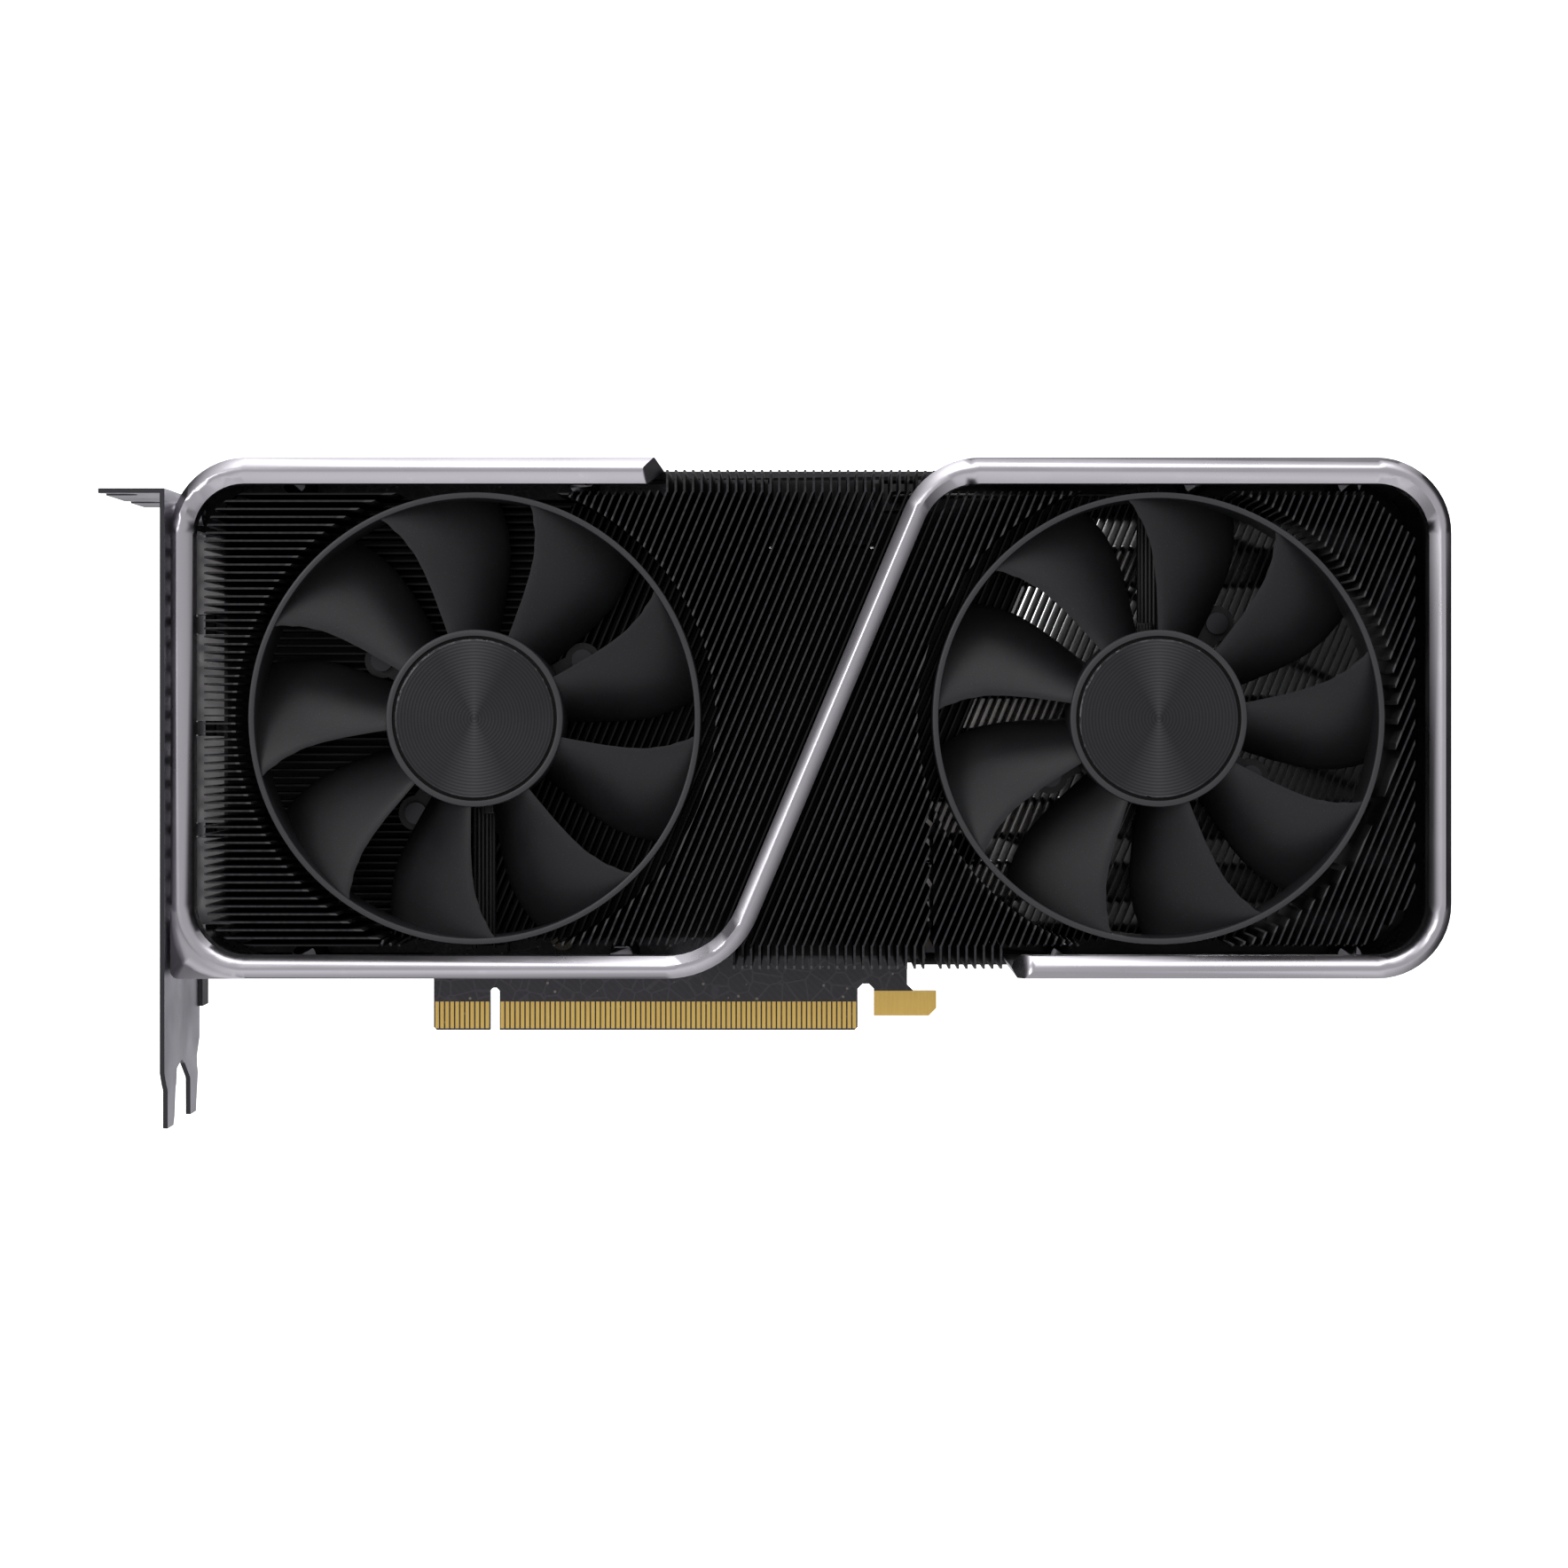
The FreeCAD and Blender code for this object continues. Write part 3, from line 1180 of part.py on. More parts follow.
def makeFan(side, turned_by, phase):
    """All pieces of one fan, at its axis; the rotor starts at its own phase."""
    x = s.left_fan if side == "left" else s.right_fan
    turn = FreeCAD.Rotation(V(0, 1, 0), turned_by)
    spin = FreeCAD.Rotation(V(0, -1, 0), phase)

    def settle(piece, rotation=turn):
        piece.Placement = FreeCAD.Placement(V(0, 0, 0), rotation)
        place(piece, x, 0, s.fan_high)
        return piece

    settle(feature(f"{side}_rotor", rotorShape()), spin)
    hub, cap, shaft = s.hub_radius, s.cap_radius, s.shaft_radius
    inner = hub - 1.2
    settle(turned(f"{side}_hub_cap", [
        (0, cap_seat), (cap, cap_seat), (cap, cap_seat - 0.4), (cap - 0.3, cap_seat - 0.6), (0, cap_seat - 0.6)]))
    settle(turned(f"{side}_rotor_yoke", [
        (shaft + 0.02, -31.5), (inner - 0.01, -31.5), (inner - 0.01, -22.0), (inner - 0.8, -22.0),
        (inner - 0.8, -30.7), (shaft + 0.02, -30.7)]))
    settle(turned(f"{side}_magnet_ring", [
        (inner - 0.82, -30.2), (inner - 0.82, -22.6), (inner - 2.3, -22.6), (inner - 2.3, -30.2)]))
    settle(turned(f"{side}_shaft", [
        (0, -31.5), (shaft, -31.5), (shaft, -20.4), (shaft - 0.3, -20.1), (0, -20.1)]))
    sleeve = shaft + s.shaft_gap
    settle(turned(f"{side}_bearing", [(sleeve, -28.6), (2.58, -28.6), (2.58, -19.9), (sleeve, -19.9)]))
    settle(feature(f"{side}_motor_core", coreShape()))
    settle(feature(f"{side}_motor_coils", coilShapes()))
    settle(turned(f"{side}_motor_board", [(3.4, -20.4), (12.6, -20.4), (12.6, -19.6), (3.4, -19.6)]))
    settle(feature(f"{side}_fan_base", fanBaseShape()))
    spots = LEFT_BOSSES if side == "left" else RIGHT_BOSSES
    group(f"{side}_fan_screws", [
        fuse("fan_screw", [
            rod("fan_head", "Y", bx, base_front - 0.4, bz, 2.1, 1.0),
            rod("fan_shank", "Y", bx, base_front + 0.4, bz, 1.0, 6.2),
        ]) for bx, bz in spots])
    feature(f"{side}_fan_lead", leadShape(side))


makeFan("left", 0, -5.0)
makeFan("right", 180, -22.5)

# ---- check and write ---------------------------------------------------------------------------

doc.recompute()
bad = [f"{piece.Label}: {piece.State}" for piece in doc.Objects
       if {"Invalid", "Error"} & set(piece.State)]
for piece in nodes:
    shape = piece.Shape
    if shape.isNull() or not shape.isValid() or not shape.Solids:
        bad.append(f"{piece.Label}: its shape is null or not valid")
if bad:
    raise SystemExit("\n".join(bad))
for piece in nodes:
    piece.Shape.exportStep(f"parts/{piece.Label}.step")
print(len(nodes), "nodes written")
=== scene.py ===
import bpy
import bmesh
import json
import math
from mathutils import Matrix, Vector


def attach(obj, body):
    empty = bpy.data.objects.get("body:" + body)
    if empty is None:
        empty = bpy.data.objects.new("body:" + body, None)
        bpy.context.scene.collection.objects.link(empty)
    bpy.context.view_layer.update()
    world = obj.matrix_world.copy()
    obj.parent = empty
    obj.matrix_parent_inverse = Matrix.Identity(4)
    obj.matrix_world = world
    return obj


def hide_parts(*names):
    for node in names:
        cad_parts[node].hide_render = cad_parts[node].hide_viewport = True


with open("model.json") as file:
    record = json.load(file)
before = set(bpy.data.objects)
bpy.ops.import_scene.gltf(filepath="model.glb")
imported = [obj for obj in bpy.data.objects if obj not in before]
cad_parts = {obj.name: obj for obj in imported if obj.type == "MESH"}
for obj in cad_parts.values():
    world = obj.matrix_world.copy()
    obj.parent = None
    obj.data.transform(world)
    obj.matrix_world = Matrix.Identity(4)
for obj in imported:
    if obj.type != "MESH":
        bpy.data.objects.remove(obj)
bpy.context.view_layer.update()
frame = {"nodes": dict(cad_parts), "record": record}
nodes = frame["nodes"]
bpy.ops.object.select_all(action="DESELECT")
mm = 0.001
print("frame loaded:", len(nodes), "nodes")

# a long lens, square on to the fans
camera = {
    "place": (63.5, -590.0, 62.0),
    "lens": 68.0,
    "shift": (-0.0192, -0.0419),
}
cameraData = bpy.data.cameras.new("viewCamera")
cameraData.lens = camera["lens"]
cameraData.sensor_width = 36.0
cameraData.shift_x, cameraData.shift_y = camera["shift"]
cameraData.clip_start, cameraData.clip_end = 0.01, 20.0
cameraObject = bpy.data.objects.new("viewCamera", cameraData)
cameraObject.location = [v * mm for v in camera["place"]]
cameraObject.rotation_euler = (math.pi / 2, 0, 0)
bpy.context.scene.collection.objects.link(cameraObject)
bpy.context.scene.camera = cameraObject


# a number or vector in a material, for plain sums
class Value:
    def __init__(self, graph, socket):
        self.graph, self.socket = graph, socket

    def __add__(self, other): return self.graph.calc("ADD", self, other)
    def __radd__(self, other): return self.graph.calc("ADD", other, self)
    def __sub__(self, other): return self.graph.calc("SUBTRACT", self, other)
    def __rsub__(self, other): return self.graph.calc("SUBTRACT", other, self)
    def __mul__(self, other): return self.graph.calc("MULTIPLY", self, other)
    def __rmul__(self, other): return self.graph.calc("MULTIPLY", other, self)
    def __truediv__(self, other): return self.graph.calc("DIVIDE", self, other)
    def __rtruediv__(self, other): return self.graph.calc("DIVIDE", other, self)
    def __mod__(self, other): return self.graph.calc("FLOORED_MODULO", self, other)
    def __pow__(self, other): return self.graph.calc("POWER", self, other)
    def __gt__(self, other): return self.graph.calc("GREATER_THAN", self, other)
    def __lt__(self, other): return self.graph.calc("LESS_THAN", self, other)


# the nodes of one material or of the world
class Graph:
    def __init__(self, owner):
        self.owner = owner
        self.owner.use_nodes = True
        self.nodes, self.links = owner.node_tree.nodes, owner.node_tree.links
        self.place = None
        for node in self.nodes:
            if node.type in ("BSDF_PRINCIPLED", "BACKGROUND"):
                self.shader = node

    def add(self, kind, settings=None, values=None, out=0):
        node = self.nodes.new(kind)
        for key, setting in (settings or {}).items():
            setattr(node, key, setting)
        for key, value in (values or {}).items():
            if isinstance(value, Value):
                self.links.new(value.socket, node.inputs[key])
            else:
                node.inputs[key].default_value = value
        return Value(self, node.outputs[out])

    def calc(self, operation, first, second=0.0):
        return self.add("ShaderNodeMath", {"operation": operation}, {0: first, 1: second})

    def feed(self, name, value):
        if isinstance(value, Value):
            self.links.new(value.socket, self.shader.inputs[name])
        else:
            self.shader.inputs[name].default_value = value

    def where(self):
        if self.place is None:
            self.place = self.add("ShaderNodeTexCoord", out=3)
        return self.place

    def axes(self, vector=None, scale=1 / mm):
        split = self.add("ShaderNodeSeparateXYZ", None, {"Vector": vector or self.where()})
        node = split.socket.node
        return [Value(self, node.outputs[i]) * scale for i in range(3)]

    def noise(self, size, detail=3.0, vector=None):
        return self.add("ShaderNodeTexNoise", None, {
            "Vector": vector or self.where(), "Scale": 1 / (size * mm), "Detail": detail})

    def cells(self, size, feature):
        return self.add("ShaderNodeTexVoronoi", {"feature": feature}, {
            "Vector": self.where(), "Scale": 1 / (size * mm)})

    def ramp(self, value, low, high, start=0.0, end=1.0):
        return self.add("ShaderNodeMapRange", {"clamp": True}, {
            0: value, 1: low, 2: high, 3: start, 4: end})

    def mix(self, factor, first, second):
        return self.add("ShaderNodeMix", {"data_type": "RGBA"},
                        {0: factor, 6: first, 7: second}, out=2)

    def bump(self, height, strength, distance, under=None):
        values = {"Height": height, "Strength": strength, "Distance": distance * mm}
        if under:
            values["Normal"] = under
        return self.add("ShaderNodeBump", None, values)

    # distance in mm from the nearer fan's axis
    def fromFans(self):
        x, y, z = self.axes()
        nearer = self.besideFans(x)
        return self.calc("SQRT", nearer * nearer + (z - fan["high"]) ** 2.0)

    def besideFans(self, x):
        return self.calc("MINIMUM", self.calc("ABSOLUTE", x - fan["left"]),
                         self.calc("ABSOLUTE", x - fan["right"]))

    # noise drawn out along Z by this many times
    def drawnOut(self, size, stretch):
        x, y, z = self.axes()
        return self.noise(size, 2.0, self.add("ShaderNodeCombineXYZ", None, {
            0: x * mm, 1: y * mm, 2: z * (mm / stretch)}))

    # how squarely a face looks to the front or the back
    def facing(self):
        normal = self.add("ShaderNodeNewGeometry", out=1)
        return self.calc("ABSOLUTE", self.axes(normal, 1.0)[1])


def rgb(colour, gain=1.0):
    return tuple(min(1.0, c * gain) for c in colour) + (1.0,)


# colour, metallic, roughness, how much colour and roughness wander, grain size and depth in mm
finishes = {
    "frame_metal": ((0.52, 0.50, 0.53), 1.0, 0.30, 0.04, 0.05, 0.12, 0.004),
    "fin_metal": ((0.010, 0.010, 0.011), 0.0, 0.42, 0.30, 0.08, 0.30, 0.006),
    "cover_metal": ((0.026, 0.026, 0.028), 0.0, 0.50, 0.20, 0.08, 0.22, 0.010),
    "bracket_steel": ((0.44, 0.43, 0.47), 1.0, 0.38, 0.10, 0.10, 0.60, 0.004),
    "fan_plastic": ((0.012, 0.012, 0.0135), 0.0, 0.50, 0.25, 0.06, 0.14, 0.014),
    "hub_metal": ((0.050, 0.050, 0.053), 1.0, 0.30, 0.10, 0.03, 0.20, 0.002),
    "board_mask": ((0.030, 0.027, 0.033), 0.0, 0.40, 0.20, 0.06, 0.30, 0.003),
    "gold": ((1.0, 0.66, 0.17), 0.5, 0.34, 0.06, 0.06, 0.25, 0.002),
    "plated_copper": ((0.60, 0.57, 0.54), 1.0, 0.28, 0.06, 0.08, 0.50, 0.003),
    "winding_copper": ((0.62, 0.24, 0.09), 1.0, 0.30, 0.10, 0.06, 0.15, 0.010),
    "screw_steel": ((0.045, 0.045, 0.048), 1.0, 0.36, 0.12, 0.08, 0.20, 0.004),
    "standoff_brass": ((0.09, 0.08, 0.06), 1.0, 0.34, 0.08, 0.06, 0.20, 0.004),
    "socket_plastic": ((0.014, 0.014, 0.014), 0.0, 0.48, 0.20, 0.06, 0.18, 0.008),
    "socket_steel": ((0.55, 0.54, 0.53), 1.0, 0.32, 0.08, 0.08, 0.35, 0.003),
    "pin_tin": ((0.70, 0.69, 0.66), 1.0, 0.26, 0.06, 0.06, 0.15, 0.002),
    "chip_resin": ((0.018, 0.018, 0.019), 0.0, 0.58, 0.25, 0.06, 0.14, 0.008),
    "carrier_laminate": ((0.02, 0.05, 0.03), 0.0, 0.45, 0.20, 0.06, 0.25, 0.004),
    "silicon": ((0.05, 0.06, 0.08), 0.3, 0.12, 0.10, 0.02, 0.80, 0.001),
    "thermal_pad": ((0.30, 0.33, 0.40), 0.0, 0.85, 0.12, 0.06, 0.30, 0.020),
    "ferrite": ((0.08, 0.08, 0.08), 0.0, 0.70, 0.20, 0.08, 0.20, 0.015),
    "capacitor_can": ((0.55, 0.55, 0.54), 1.0, 0.30, 0.06, 0.06, 0.30, 0.002),
    "magnet": ((0.03, 0.027, 0.024), 0.0, 0.62, 0.25, 0.08, 0.20, 0.010),
    "motor_steel": ((0.22, 0.22, 0.23), 1.0, 0.42, 0.12, 0.10, 0.30, 0.004),
    "bearing_bronze": ((0.42, 0.24, 0.10), 1.0, 0.45, 0.12, 0.08, 0.15, 0.006),
    "wire_jacket": ((0.020, 0.020, 0.020), 0.0, 0.48, 0.15, 0.06, 0.25, 0.004),
}

# finishes that reflect less than usual
shine = {
    "fin_metal": 0.22,
    "fan_plastic": 0.36,
}

fan = {
    "left": -0.4,
    "right": 128.3,
    "high": 62.0,
}


# ground finish: broad cloudiness and fine grain in colour, roughness and surface
def finish(name):
    colour, metallic, roughness, colourDrift, roughDrift, grain, depth = finishes[name]
    graph = Graph(bpy.data.materials.new(name))
    broad = graph.noise(14.0, 4.0)
    fine = graph.noise(grain, 2.0)
    blend = graph.ramp(broad, 0.3, 0.7) * 0.6 + graph.ramp(fine, 0.25, 0.75) * 0.4
    paint = graph.mix(blend, rgb(colour, 1 - colourDrift), rgb(colour, 1 + colourDrift))
    rough = graph.ramp(broad, 0.25, 0.75, roughness - roughDrift, roughness + roughDrift)
    grainy = graph.bump(fine, 0.5, depth)
    if name in details:
        paint, rough, grainy = details[name](graph, paint, rough, grainy)
    graph.feed("Base Color", paint)
    graph.feed("Metallic", metallic)
    graph.feed("Roughness", rough)
    graph.feed("Normal", grainy)
    graph.feed("Specular IOR Level", shine.get(name, 0.5))
    return graph


# where finishes and painted light and shade change, in mm, on this card
marks = {
    "postFront": -12.0,
    "postHeights": (41.0, 46.2),
    "postSides": (-41.0, 171.0),
    "finEdge": -31.1,
    "finWell": 46.1,
    "wellFront": -24.0,
    "finEnds": (-51.3, 108.2, 15.3),
    "noseFront": (-32.82, -32.64),
    "paintedGrooveShade": (15.15, 0.42),
    "grooveFront": (-33.12, -32.0),
    "ringStep": 0.62,
    "capEdge": 14.6,
}


# blasted metal: tiny pits, and paler patches where it has been handled
def blasted(graph, paint, rough, grainy):
    pits = graph.ramp(graph.cells(0.35, "F1"), 0.0, 0.5)
    worn = graph.ramp(graph.noise(3.0, 5.0), 0.62, 0.80)
    x, y, z = graph.axes()
    # the screw posts inside are painted near black: painted shade, where they sit deep in shadow
    fromMiddle = graph.calc("ABSOLUTE", z - fan["high"])
    low, high = marks["postHeights"]
    first, last = marks["postSides"]
    inside = ((y > marks["postFront"]) * (fromMiddle < high) * (fromMiddle > low)
              * (x > first) * (x < last))
    paint = graph.mix(inside, paint, (0.012, 0.012, 0.013, 1))
    worn = worn * (1 - inside)
    return (graph.mix(worn * 0.25, paint, (0.62, 0.60, 0.63, 1)), rough - worn * 0.04,
            graph.bump(pits, 0.25, 0.006, grainy))


# black fins: painted highlights where light would catch the sheared front edges, the cut ends round
# the fan wells and the outer ends
def finsWithPaintedHighlights(graph, paint, rough, grainy):
    x, y, z = graph.axes()
    left, top, bottom = marks["finEnds"]
    edge = y < marks["finEdge"]
    paintedWellLight = (graph.fromFans() < marks["finWell"]) * (y < marks["wellFront"])
    paintedEndLight = (x < left) + (z > top) + (z < bottom)
    streak = graph.noise(0.8, 3.0)
    paintedSheen = graph.ramp(streak, 0.35, 0.65, 0.25, 0.9)
    lit = graph.mix(edge * paintedSheen, paint, (0.042, 0.042, 0.045, 1))
    lit = graph.mix(paintedWellLight * 0.7, lit, (0.085, 0.083, 0.086, 1))
    lit = graph.mix(graph.ramp(paintedEndLight, 0.0, 1.0, 0.0, 0.6), lit, (0.10, 0.098, 0.10, 1))
    return lit, rough - edge * 0.06, grainy


# moulded plastic with a fine spark-eroded texture
def sparked(graph, paint, rough, grainy):
    speck = graph.ramp(graph.cells(0.28, "F1"), 0.1, 0.6)
    glint = graph.ramp(graph.noise(0.22, 1.0), 0.66, 0.74)
    y = graph.axes()[1]
    away = graph.fromFans()
    # the foremost edges of the blades, lip and ring are painted paler as a highlight, and are a
    # little smoother
    paintedNoseHighlight = graph.ramp(y, *marks["noseFront"], 1.0, 0.0)
    # the groove round the hub cap is painted near black and made rough: painted shade in the gap
    middle, half = marks["paintedGrooveShade"]
    front, back = marks["grooveFront"]
    paintedGrooveShade = (graph.calc("ABSOLUTE", away - middle) < half) * (y > front) * (y < back)
    paint = graph.mix(paintedNoseHighlight * 0.6, paint, (0.060, 0.060, 0.064, 1))
    paint = graph.mix(paintedGrooveShade, paint, (0.001, 0.001, 0.001, 1))
    paint = graph.mix(glint * 0.35, paint, (0.060, 0.060, 0.064, 1))
    return paint, rough - paintedNoseHighlight * 0.08 + paintedGrooveShade * 0.4, graph.bump(speck, 0.35, 0.012, grainy)


# turned face: fine rings round the fan's axis
def ringed(graph, paint, rough, grainy):
    away = graph.fromFans()
    ring = graph.calc("SINE", away * (2 * math.pi / marks["ringStep"])) * 0.5 + 0.5
    flat = graph.ramp(graph.calc("ABSOLUTE", away - marks["capEdge"]), 0.0, 0.15)
    # painted highlight: the two soft fans of light, up and down, that the turned rings would throw
    # are painted into the colour
    paintedLightLean = graph.besideFans(graph.axes()[0]) / (away + 0.4)
    paint = graph.mix(graph.ramp(paintedLightLean, 0.02, 0.50, 0.8, 0.0), paint, (0.105, 0.105, 0.110, 1))
    return (graph.mix(ring * 0.5, paint, (0.022, 0.022, 0.024, 1)), rough + ring * 0.05,
            graph.bump(ring * flat, 0.8, 0.03, grainy))


# solder mask over copper: faint traces and plated holes
def traced(graph, paint, rough, grainy):
    x, y, z = graph.axes()
    cell = graph.cells(3.4, "DISTANCE_TO_EDGE")
    trace = graph.ramp(cell, 0.03, 0.06, 1.0, 0.0)
    bars = ((x * 0.7 + z * 0.7) % 1.1) < 0.42
    hole = graph.ramp(graph.cells(2.6, "F1"), 0.09, 0.12, 1.0, 0.0)
    tinted = graph.mix(trace * 0.6 + bars * 0.16, paint, (0.060, 0.055, 0.064, 1))
    return (graph.mix(hole, tinted, (0.22, 0.20, 0.16, 1)), rough - trace * 0.05,
            graph.bump(trace + hole * 0.6, 0.4, 0.03, grainy))


# sheet steel: faces that look to the front or back, the cut edges, are painted darker and made
# rougher than the rolled faces, with faint rolling lines
def rolled(graph, paint, rough, grainy):
    edge = graph.facing() > 0.7
    lines = graph.drawnOut(0.5, 25.0)
    face = graph.mix(graph.ramp(lines, 0.3, 0.7) * 0.25, paint, (0.34, 0.33, 0.36, 1))
    return (graph.mix(edge, face, (0.055, 0.053, 0.058, 1)), rough + edge * 0.12,
            graph.bump(lines, 0.2, 0.006, grainy))


# powder coat: an even orange peel
def peeled(graph, paint, rough, grainy):
    peel = graph.noise(0.9, 2.0)
    nub = graph.ramp(graph.cells(0.5, "F1"), 0.1, 0.7)
    paint = graph.mix(graph.ramp(peel, 0.4, 0.7) * 0.3, paint, (0.030, 0.030, 0.032, 1))
    return paint, rough, graph.bump(peel + nub * 0.4, 0.35, 0.03, grainy)


# plated contacts: rub marks along the way they slide in
def rubbed(graph, paint, rough, grainy):
    rub = graph.drawnOut(0.25, 1 / 0.06)
    return (graph.mix(graph.ramp(rub, 0.45, 0.7) * 0.3, paint, (0.86, 0.50, 0.12, 1)),
            rough + graph.ramp(rub, 0.4, 0.7, -0.04, 0.06), grainy)


details = {
    "frame_metal": blasted,
    "fin_metal": finsWithPaintedHighlights,
    "fan_plastic": sparked,
    "hub_metal": ringed,
    "board_mask": traced,
    "bracket_steel": rolled,
    "cover_metal": peeled,
    "gold": rubbed,
}

slotOf = {part["node"]: part["material_slot"] for part in frame["record"]["subparts"]}
graphs = {slot: finish(slot) for slot in sorted(set(slotOf.values()))}


def dress(piece, material):
    piece.data.materials.clear()
    piece.data.materials.append(material)


for name, node in nodes.items():
    dress(node, graphs[slotOf[name]].owner)
print("finishes made:", len(graphs))


# a copy of a piece with a mesh of its own
def another(piece, name):
    copy = piece.copy()
    copy.data = piece.data.copy()
    copy.name = name
    bpy.context.scene.collection.objects.link(copy)
    return copy


def only(piece):
    bpy.ops.object.select_all(action="DESELECT")
    piece.select_set(True)
    bpy.context.view_layer.objects.active = piece


# a closed loop of edges through points in mm, ready for edit mode
def wire(name, points):
    data = bpy.data.meshes.new(name)
    links = [(i, (i + 1) % len(points)) for i in range(len(points))]
    data.from_pydata([[v * mm for v in p] for p in points], links, [])
    piece = bpy.data.objects.new(name, data)
    bpy.context.scene.collection.objects.link(piece)
    only(piece)
    return piece


# merges the seams, turns the normals outward and rounds edges blunter than the angle
def smooth(piece, angle=38):
    only(piece)
    bpy.ops.object.mode_set(mode="EDIT")
    bpy.ops.mesh.select_all(action="SELECT")
    bpy.ops.mesh.remove_doubles(threshold=0.002 * mm)
    bpy.ops.mesh.normals_make_consistent(inside=False)
    bpy.ops.object.mode_set(mode="OBJECT")
    bpy.ops.object.shade_smooth_by_angle(angle=math.radians(angle))


# a profile of (radius, y) points turned round the Y axis
def turn(name, profile, steps):
    piece = wire(name, [(r, y, 0) for r, y in profile])
    bpy.ops.object.mode_set(mode="EDIT")
    bpy.ops.mesh.select_all(action="SELECT")
    bpy.ops.mesh.spin(steps=steps, angle=2 * math.pi, center=(0, 0, 0), axis=(0, 1, 0))
    bpy.ops.object.mode_set(mode="OBJECT")
    smooth(piece)
    return piece


def joined(name, parts):
    only(parts[0])
    for part in parts[1:]:
        part.select_set(True)
    bpy.ops.object.join()
    parts[0].name = name
    return parts[0]


# a node's own shape with its facets run together
def softened(name, body, angle=38):
    piece = bpy.data.objects.new(name + "Smooth", nodes[name].data.copy())
    bpy.context.scene.collection.objects.link(piece)
    smooth(piece, angle)
    bpy.ops.object.modifier_add(type="WEIGHTED_NORMAL")
    piece.modifiers[0].keep_sharp = True
    bpy.ops.object.modifier_apply(modifier=piece.modifiers[0].name)
    dress(piece, graphs[slotOf[name]].owner)
    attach(piece, body)
    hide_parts(name)


for name in ("front_frame", "rear_cover", "mounting_bracket", "heat_pipes", "power_socket"):
    softened(name, "card", 30)
softened("left_hub_cap", "left_fan")
softened("right_hub_cap", "right_fan")
print("curved metal smoothed")

rotor = {
    "blades": 9,
    "sweep": 30.0,
    "thick": 1.05,
    "bow": 1.1,
    "front": -32.6,
    "back": -21.15,
    "face": -33.2,
    "capSeat": -32.72,
    "roof": -31.55,
    "cupBack": -21.2,
    "ringBack": -22.4,
    "hub": 16.7,
    "hubInner": 15.5,
    "recess": 15.4,
    "bore": 3.0,
    "ring": 42.55,
    "ringWall": 1.15,
    # radius in mm and angle in degrees of the leading edge, from hub to ring
    "edge": [(16.0, -7.4), (24.0, -6.7), (28.0, -6.1), (32.0, -5.2),
             (36.0, -3.4), (39.5, -1.2), (42.0, 0.6)],
    "phase": {"left": -5.0, "right": -22.5},
}


# one blade's section at a radius: rounded nose, thin tail, bowed towards the front
def bladeLoop(radius, lead):
    chord, deep = radius * math.radians(rotor["sweep"]), rotor["back"] - rotor["front"]
    steps, loop = 12, []
    for side in (1, -1):
        for i in range(steps + 1):
            u = (1 - math.cos(math.pi * i / steps)) / 2
            u = u if side == 1 else 1 - u
            bow = rotor["bow"] * 4 * u * (1 - u)
            rounded = min(1.0, math.sqrt(max(0.0, 1 - (2 * u - 1) ** 10)))
            thick = rotor["thick"] / 2 * (1 - 0.45 * u) * rounded
            along = math.hypot(chord, deep)
            nx, ny = -deep / along, -chord / along
            s = radius * math.radians(lead) - chord * u + nx * (bow + side * thick)
            y = rotor["front"] + deep * u + ny * (bow + side * thick) * 0.8
            if 0 < i or side == 1:
                loop.append((radius * math.cos(s / radius), y, radius * math.sin(s / radius)))
    return loop[:-1]


def blade():
    loops = [wire("bladeLoop", bladeLoop(radius, lead)) for radius, lead in rotor["edge"]]
    piece = joined("blade", loops)
    bpy.ops.object.mode_set(mode="EDIT")
    bpy.ops.mesh.select_all(action="SELECT")
    bpy.ops.mesh.bridge_edge_loops(number_cuts=2, interpolation="SURFACE")
    bpy.ops.object.mode_set(mode="OBJECT")
    smooth(piece, 50)
    return piece


def rotorPiece():
    hub, inner, recess, bore = (rotor[k] for k in ("hub", "hubInner", "recess", "bore"))
    face, seat, roof, back = (rotor[k] for k in ("face", "capSeat", "roof", "cupBack"))
    cup = turn("hubCup", [(hub, back), (hub, face + 0.45), (hub - 0.15, face + 0.12),
                          (hub - 0.42, face), (recess + 0.35, face), (recess + 0.1, face + 0.1),
                          (recess + 0.02, face + 0.3), (recess, seat), (bore, seat),
                          (bore, roof), (inner, roof), (inner, back)], 128)
    outer, hollow, back = rotor["ring"], rotor["ring"] - rotor["ringWall"], rotor["ringBack"]
    hoop = turn("hoop", [(outer, back), (outer, face + 0.35), (outer - 0.1, face + 0.1),
                         (outer - 0.3, face), (hollow + 0.35, face), (hollow + 0.1, face + 0.12),
                         (hollow, face + 0.5), (hollow, back)], 160)
    first = blade()
    parts = [cup, hoop, first]
    for i in range(1, rotor["blades"]):
        other = another(first, "blade")
        other.data.transform(Matrix.Rotation(math.radians(-360 / rotor["blades"] * i), 4, "Y"))
        parts.append(other)
    return joined("rotorPattern", parts)


pattern = rotorPiece()
for side in ("left", "right"):
    turned = another(pattern, side + "RotorMoulding")
    turned.data.transform(Matrix.Translation((fan[side] * mm, 0, fan["high"] * mm))
                          @ Matrix.Rotation(math.radians(-rotor["phase"][side]), 4, "Y"))
    dress(turned, graphs["fan_plastic"].owner)
    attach(turned, side + "_fan")
    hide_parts(side + "_rotor")
bpy.data.objects.remove(pattern)
print("rotors moulded:", rotor["blades"], "blades each")

leadClip = {
    "place": (1.3, -20.22, -17.1),
    "wide": 3.0,
    "deep": 1.15,
    "high": 2.4,
    "edge": 0.15,
    "ribs": 5,
    "ribRadius": 0.17,
    "ribLength": 1.9,
    "ribSpan": 2.7,
}


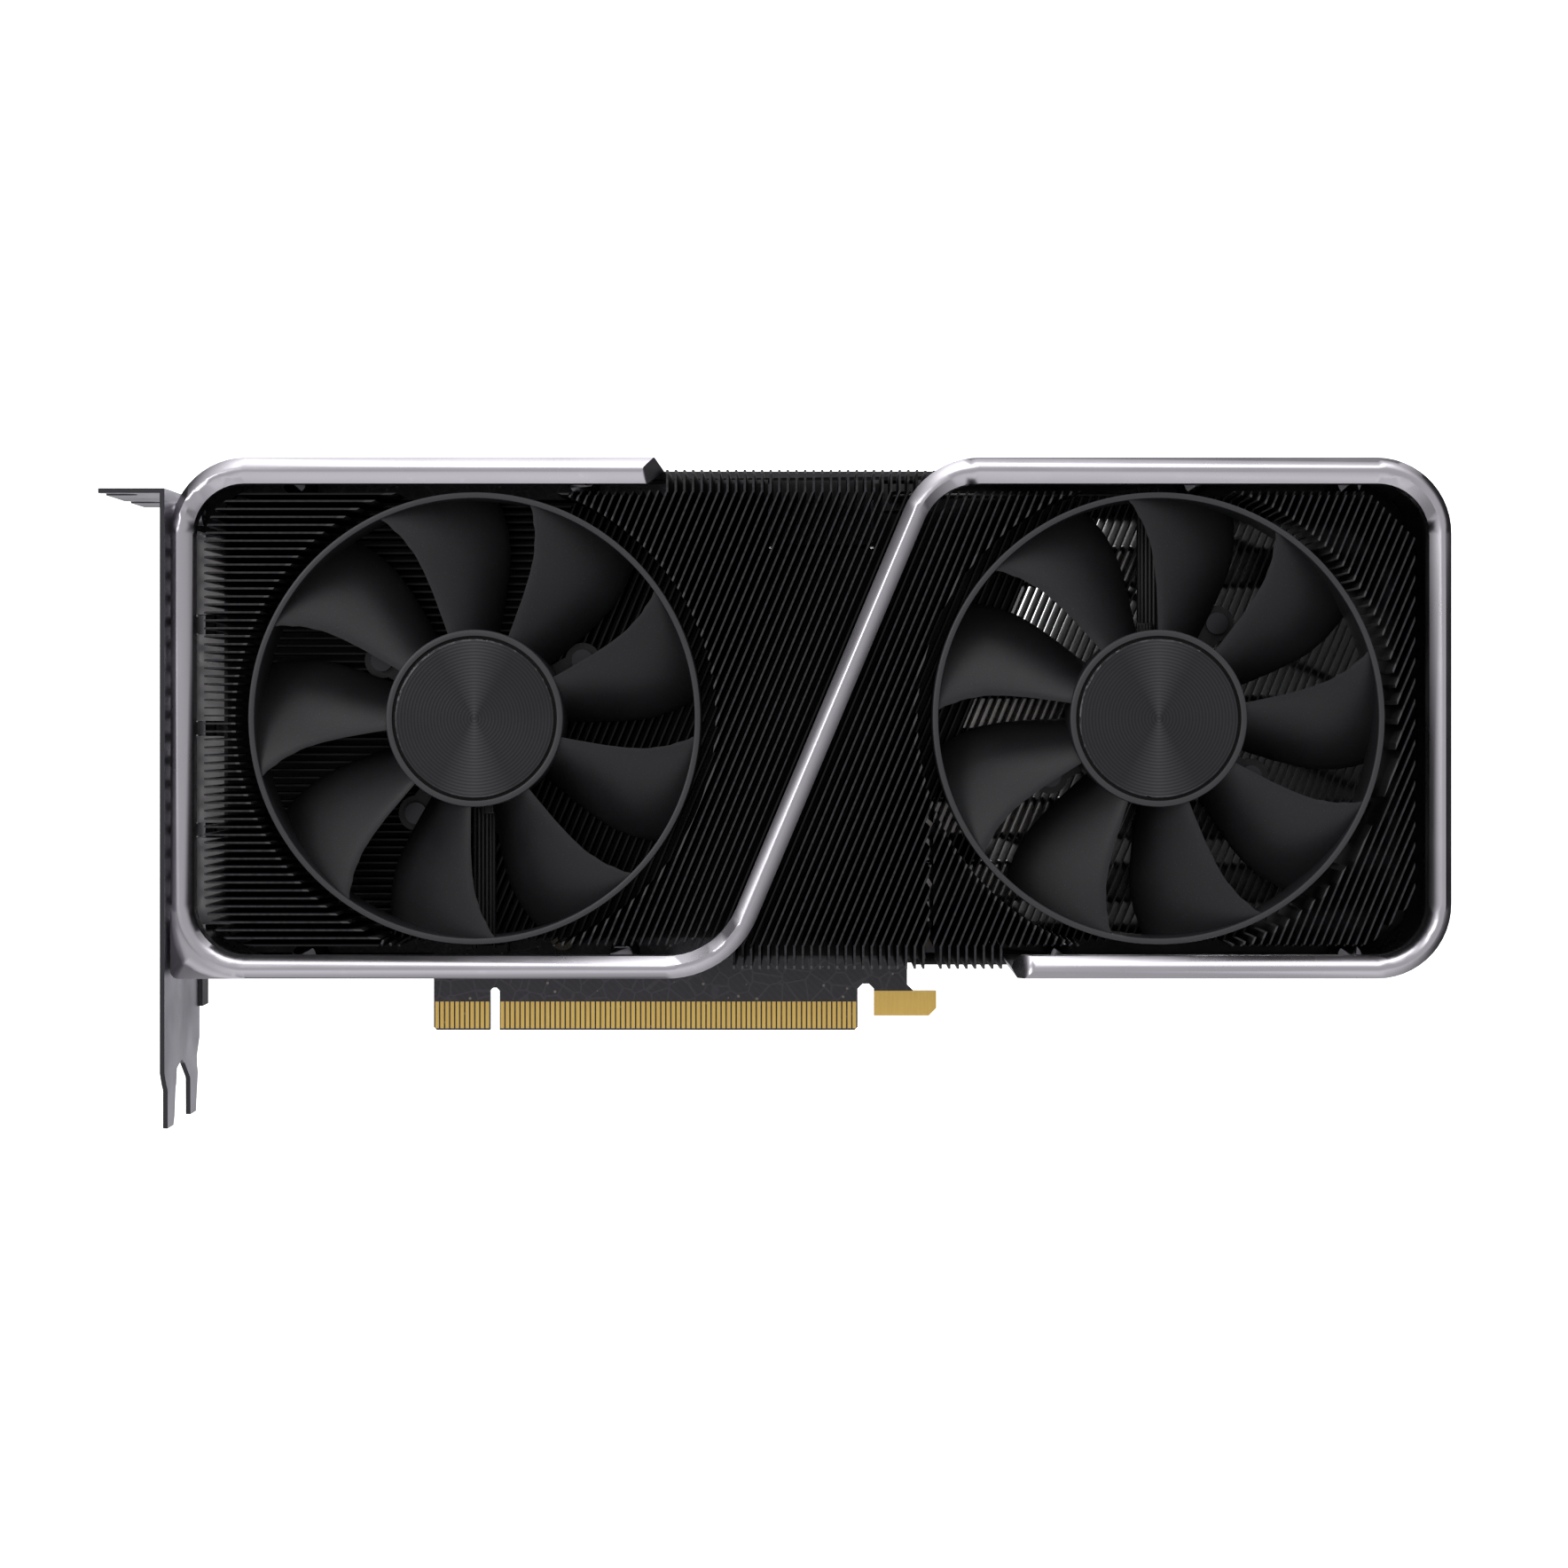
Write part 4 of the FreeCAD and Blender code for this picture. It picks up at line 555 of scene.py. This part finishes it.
# the small ribbed plug where a fan's wires leave its motor
def clipPiece():
    bpy.ops.mesh.primitive_cube_add(size=1.0, location=(0, 0, 0))
    piece = bpy.context.object
    bpy.ops.object.mode_set(mode="EDIT")
    bpy.ops.mesh.select_all(action="SELECT")
    wide, deep, high = (leadClip[k] * mm for k in ("wide", "deep", "high"))
    bpy.ops.transform.resize(value=(wide, deep, high))
    bpy.ops.mesh.bevel(offset=leadClip["edge"] * mm, segments=2)
    bpy.ops.object.mode_set(mode="OBJECT")
    parts = [piece]
    for i in range(leadClip["ribs"]):
        x = (i + 0.5) / leadClip["ribs"] - 0.5
        place = (x * leadClip["ribSpan"] * mm, -leadClip["deep"] / 2 * mm, 0)
        bpy.ops.mesh.primitive_cylinder_add(vertices=16, radius=leadClip["ribRadius"] * mm,
                                            depth=leadClip["ribLength"] * mm, location=place)
        bpy.ops.object.transform_apply(location=True)
        parts.append(bpy.context.object)
    return joined("clipPattern", parts)


clip = clipPiece()
smooth(clip)
for side, turnedBy in (("left", 0), ("right", 180)):
    plug = another(clip, side + "LeadClip")
    place = Vector(leadClip["place"]) * mm
    plug.data.transform(Matrix.Translation((fan[side] * mm, 0, fan["high"] * mm))
                        @ Matrix.Rotation(math.radians(turnedBy), 4, "Y")
                        @ Matrix.Translation(place))
    dress(plug, graphs["socket_plastic"].owner)
    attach(plug, "card")
bpy.data.objects.remove(clip)
print("lead clips made")

stage = {
    "floor": -14.9,
    "front": -1600.0,
    "back": 700.0,
    "side": 3200.0,
    "high": 3000.0,
    "bend": 500.0,
    "steps": 16,
}


def sweepStage():
    bpy.ops.mesh.primitive_plane_add(size=1.0)
    piece = bpy.context.object
    piece.name = "backdrop"
    mesh = bmesh.new()
    side, floor, back, bend = (stage[k] * mm for k in ("side", "floor", "back", "bend"))
    steps = stage["steps"]
    profile = [(stage["front"] * mm, floor), (back - bend, floor)]
    profile += [(back - bend + bend * math.sin(a), floor + bend * (1 - math.cos(a)))
                for a in (math.radians(90 / steps * i) for i in range(1, steps + 1))]
    profile.append((back, stage["high"] * mm))
    rows = [[mesh.verts.new((x, y, z)) for y, z in profile] for x in (-side, side)]
    for i in range(len(profile) - 1):
        mesh.faces.new((rows[0][i], rows[1][i], rows[1][i + 1], rows[0][i + 1]))
    mesh.to_mesh(piece.data)
    mesh.free()
    for polygon in piece.data.polygons:
        polygon.use_smooth = True
    return piece


backdrop = sweepStage()
paper = Graph(bpy.data.materials.new("backdropPaper"))
paper.feed("Base Color", paper.mix(paper.noise(60.0), (0.90, 0.90, 0.90, 1), (0.93, 0.93, 0.93, 1)))
paper.feed("Roughness", 0.9)
paper.feed("Emission Color", (1, 1, 1, 1))
paper.feed("Emission Strength", 1.0)
dress(backdrop, paper.owner)
backdrop.visible_diffuse = False
backdrop.visible_glossy = False

# place, aim, width and height in mm, then watts
lights = {
    "overhead": ((60, -260, 760), (60, -20, 40), 700, 260, 1.2),
    "frontLeft": ((-700, -900, 500), (60, 0, 60), 500, 500, 3.0),
    "rearFill": ((250, 900, 520), (60, 0, 60), 700, 500, 4.0),
}
for name, (place, aim, wide, high, power) in lights.items():
    data = bpy.data.lights.new(name, "AREA")
    data.shape = "RECTANGLE"
    data.size, data.size_y, data.energy = wide * mm, high * mm, power
    lamp = bpy.data.objects.new(name, data)
    lamp.location = [v * mm for v in place]
    lamp.rotation_euler = (Vector(aim) - Vector(place)).to_track_quat("-Z", "Y").to_euler()
    bpy.context.scene.collection.objects.link(lamp)

# how bright the studio is in each direction
room = {
    "front": 0.66,
    "side": 0.02,
    "above": 0.90,
    "below": 0.60,
    "behind": 0.80,
}
world = bpy.data.worlds.new("room")
sky = Graph(world)
across, depth, height = sky.axes(sky.add("ShaderNodeTexCoord", out=0), 1.0)
glow = sky.ramp(0 - depth, -0.02, 0.42, room["side"], room["front"])
glow = glow + sky.ramp(height, 0.62, 0.92, 0.0, room["above"])
glow = glow + sky.ramp(0 - height, 0.55, 0.95, 0.0, room["below"])
glow = glow + sky.ramp(depth, 0.80, 0.97, 0.0, room["behind"])
sky.feed("Strength", glow)
sky.feed("Color", (0.97, 0.965, 1.0, 1))
bpy.context.scene.world = world
bpy.context.scene.view_settings.view_transform = "Standard"
print("stage lit")
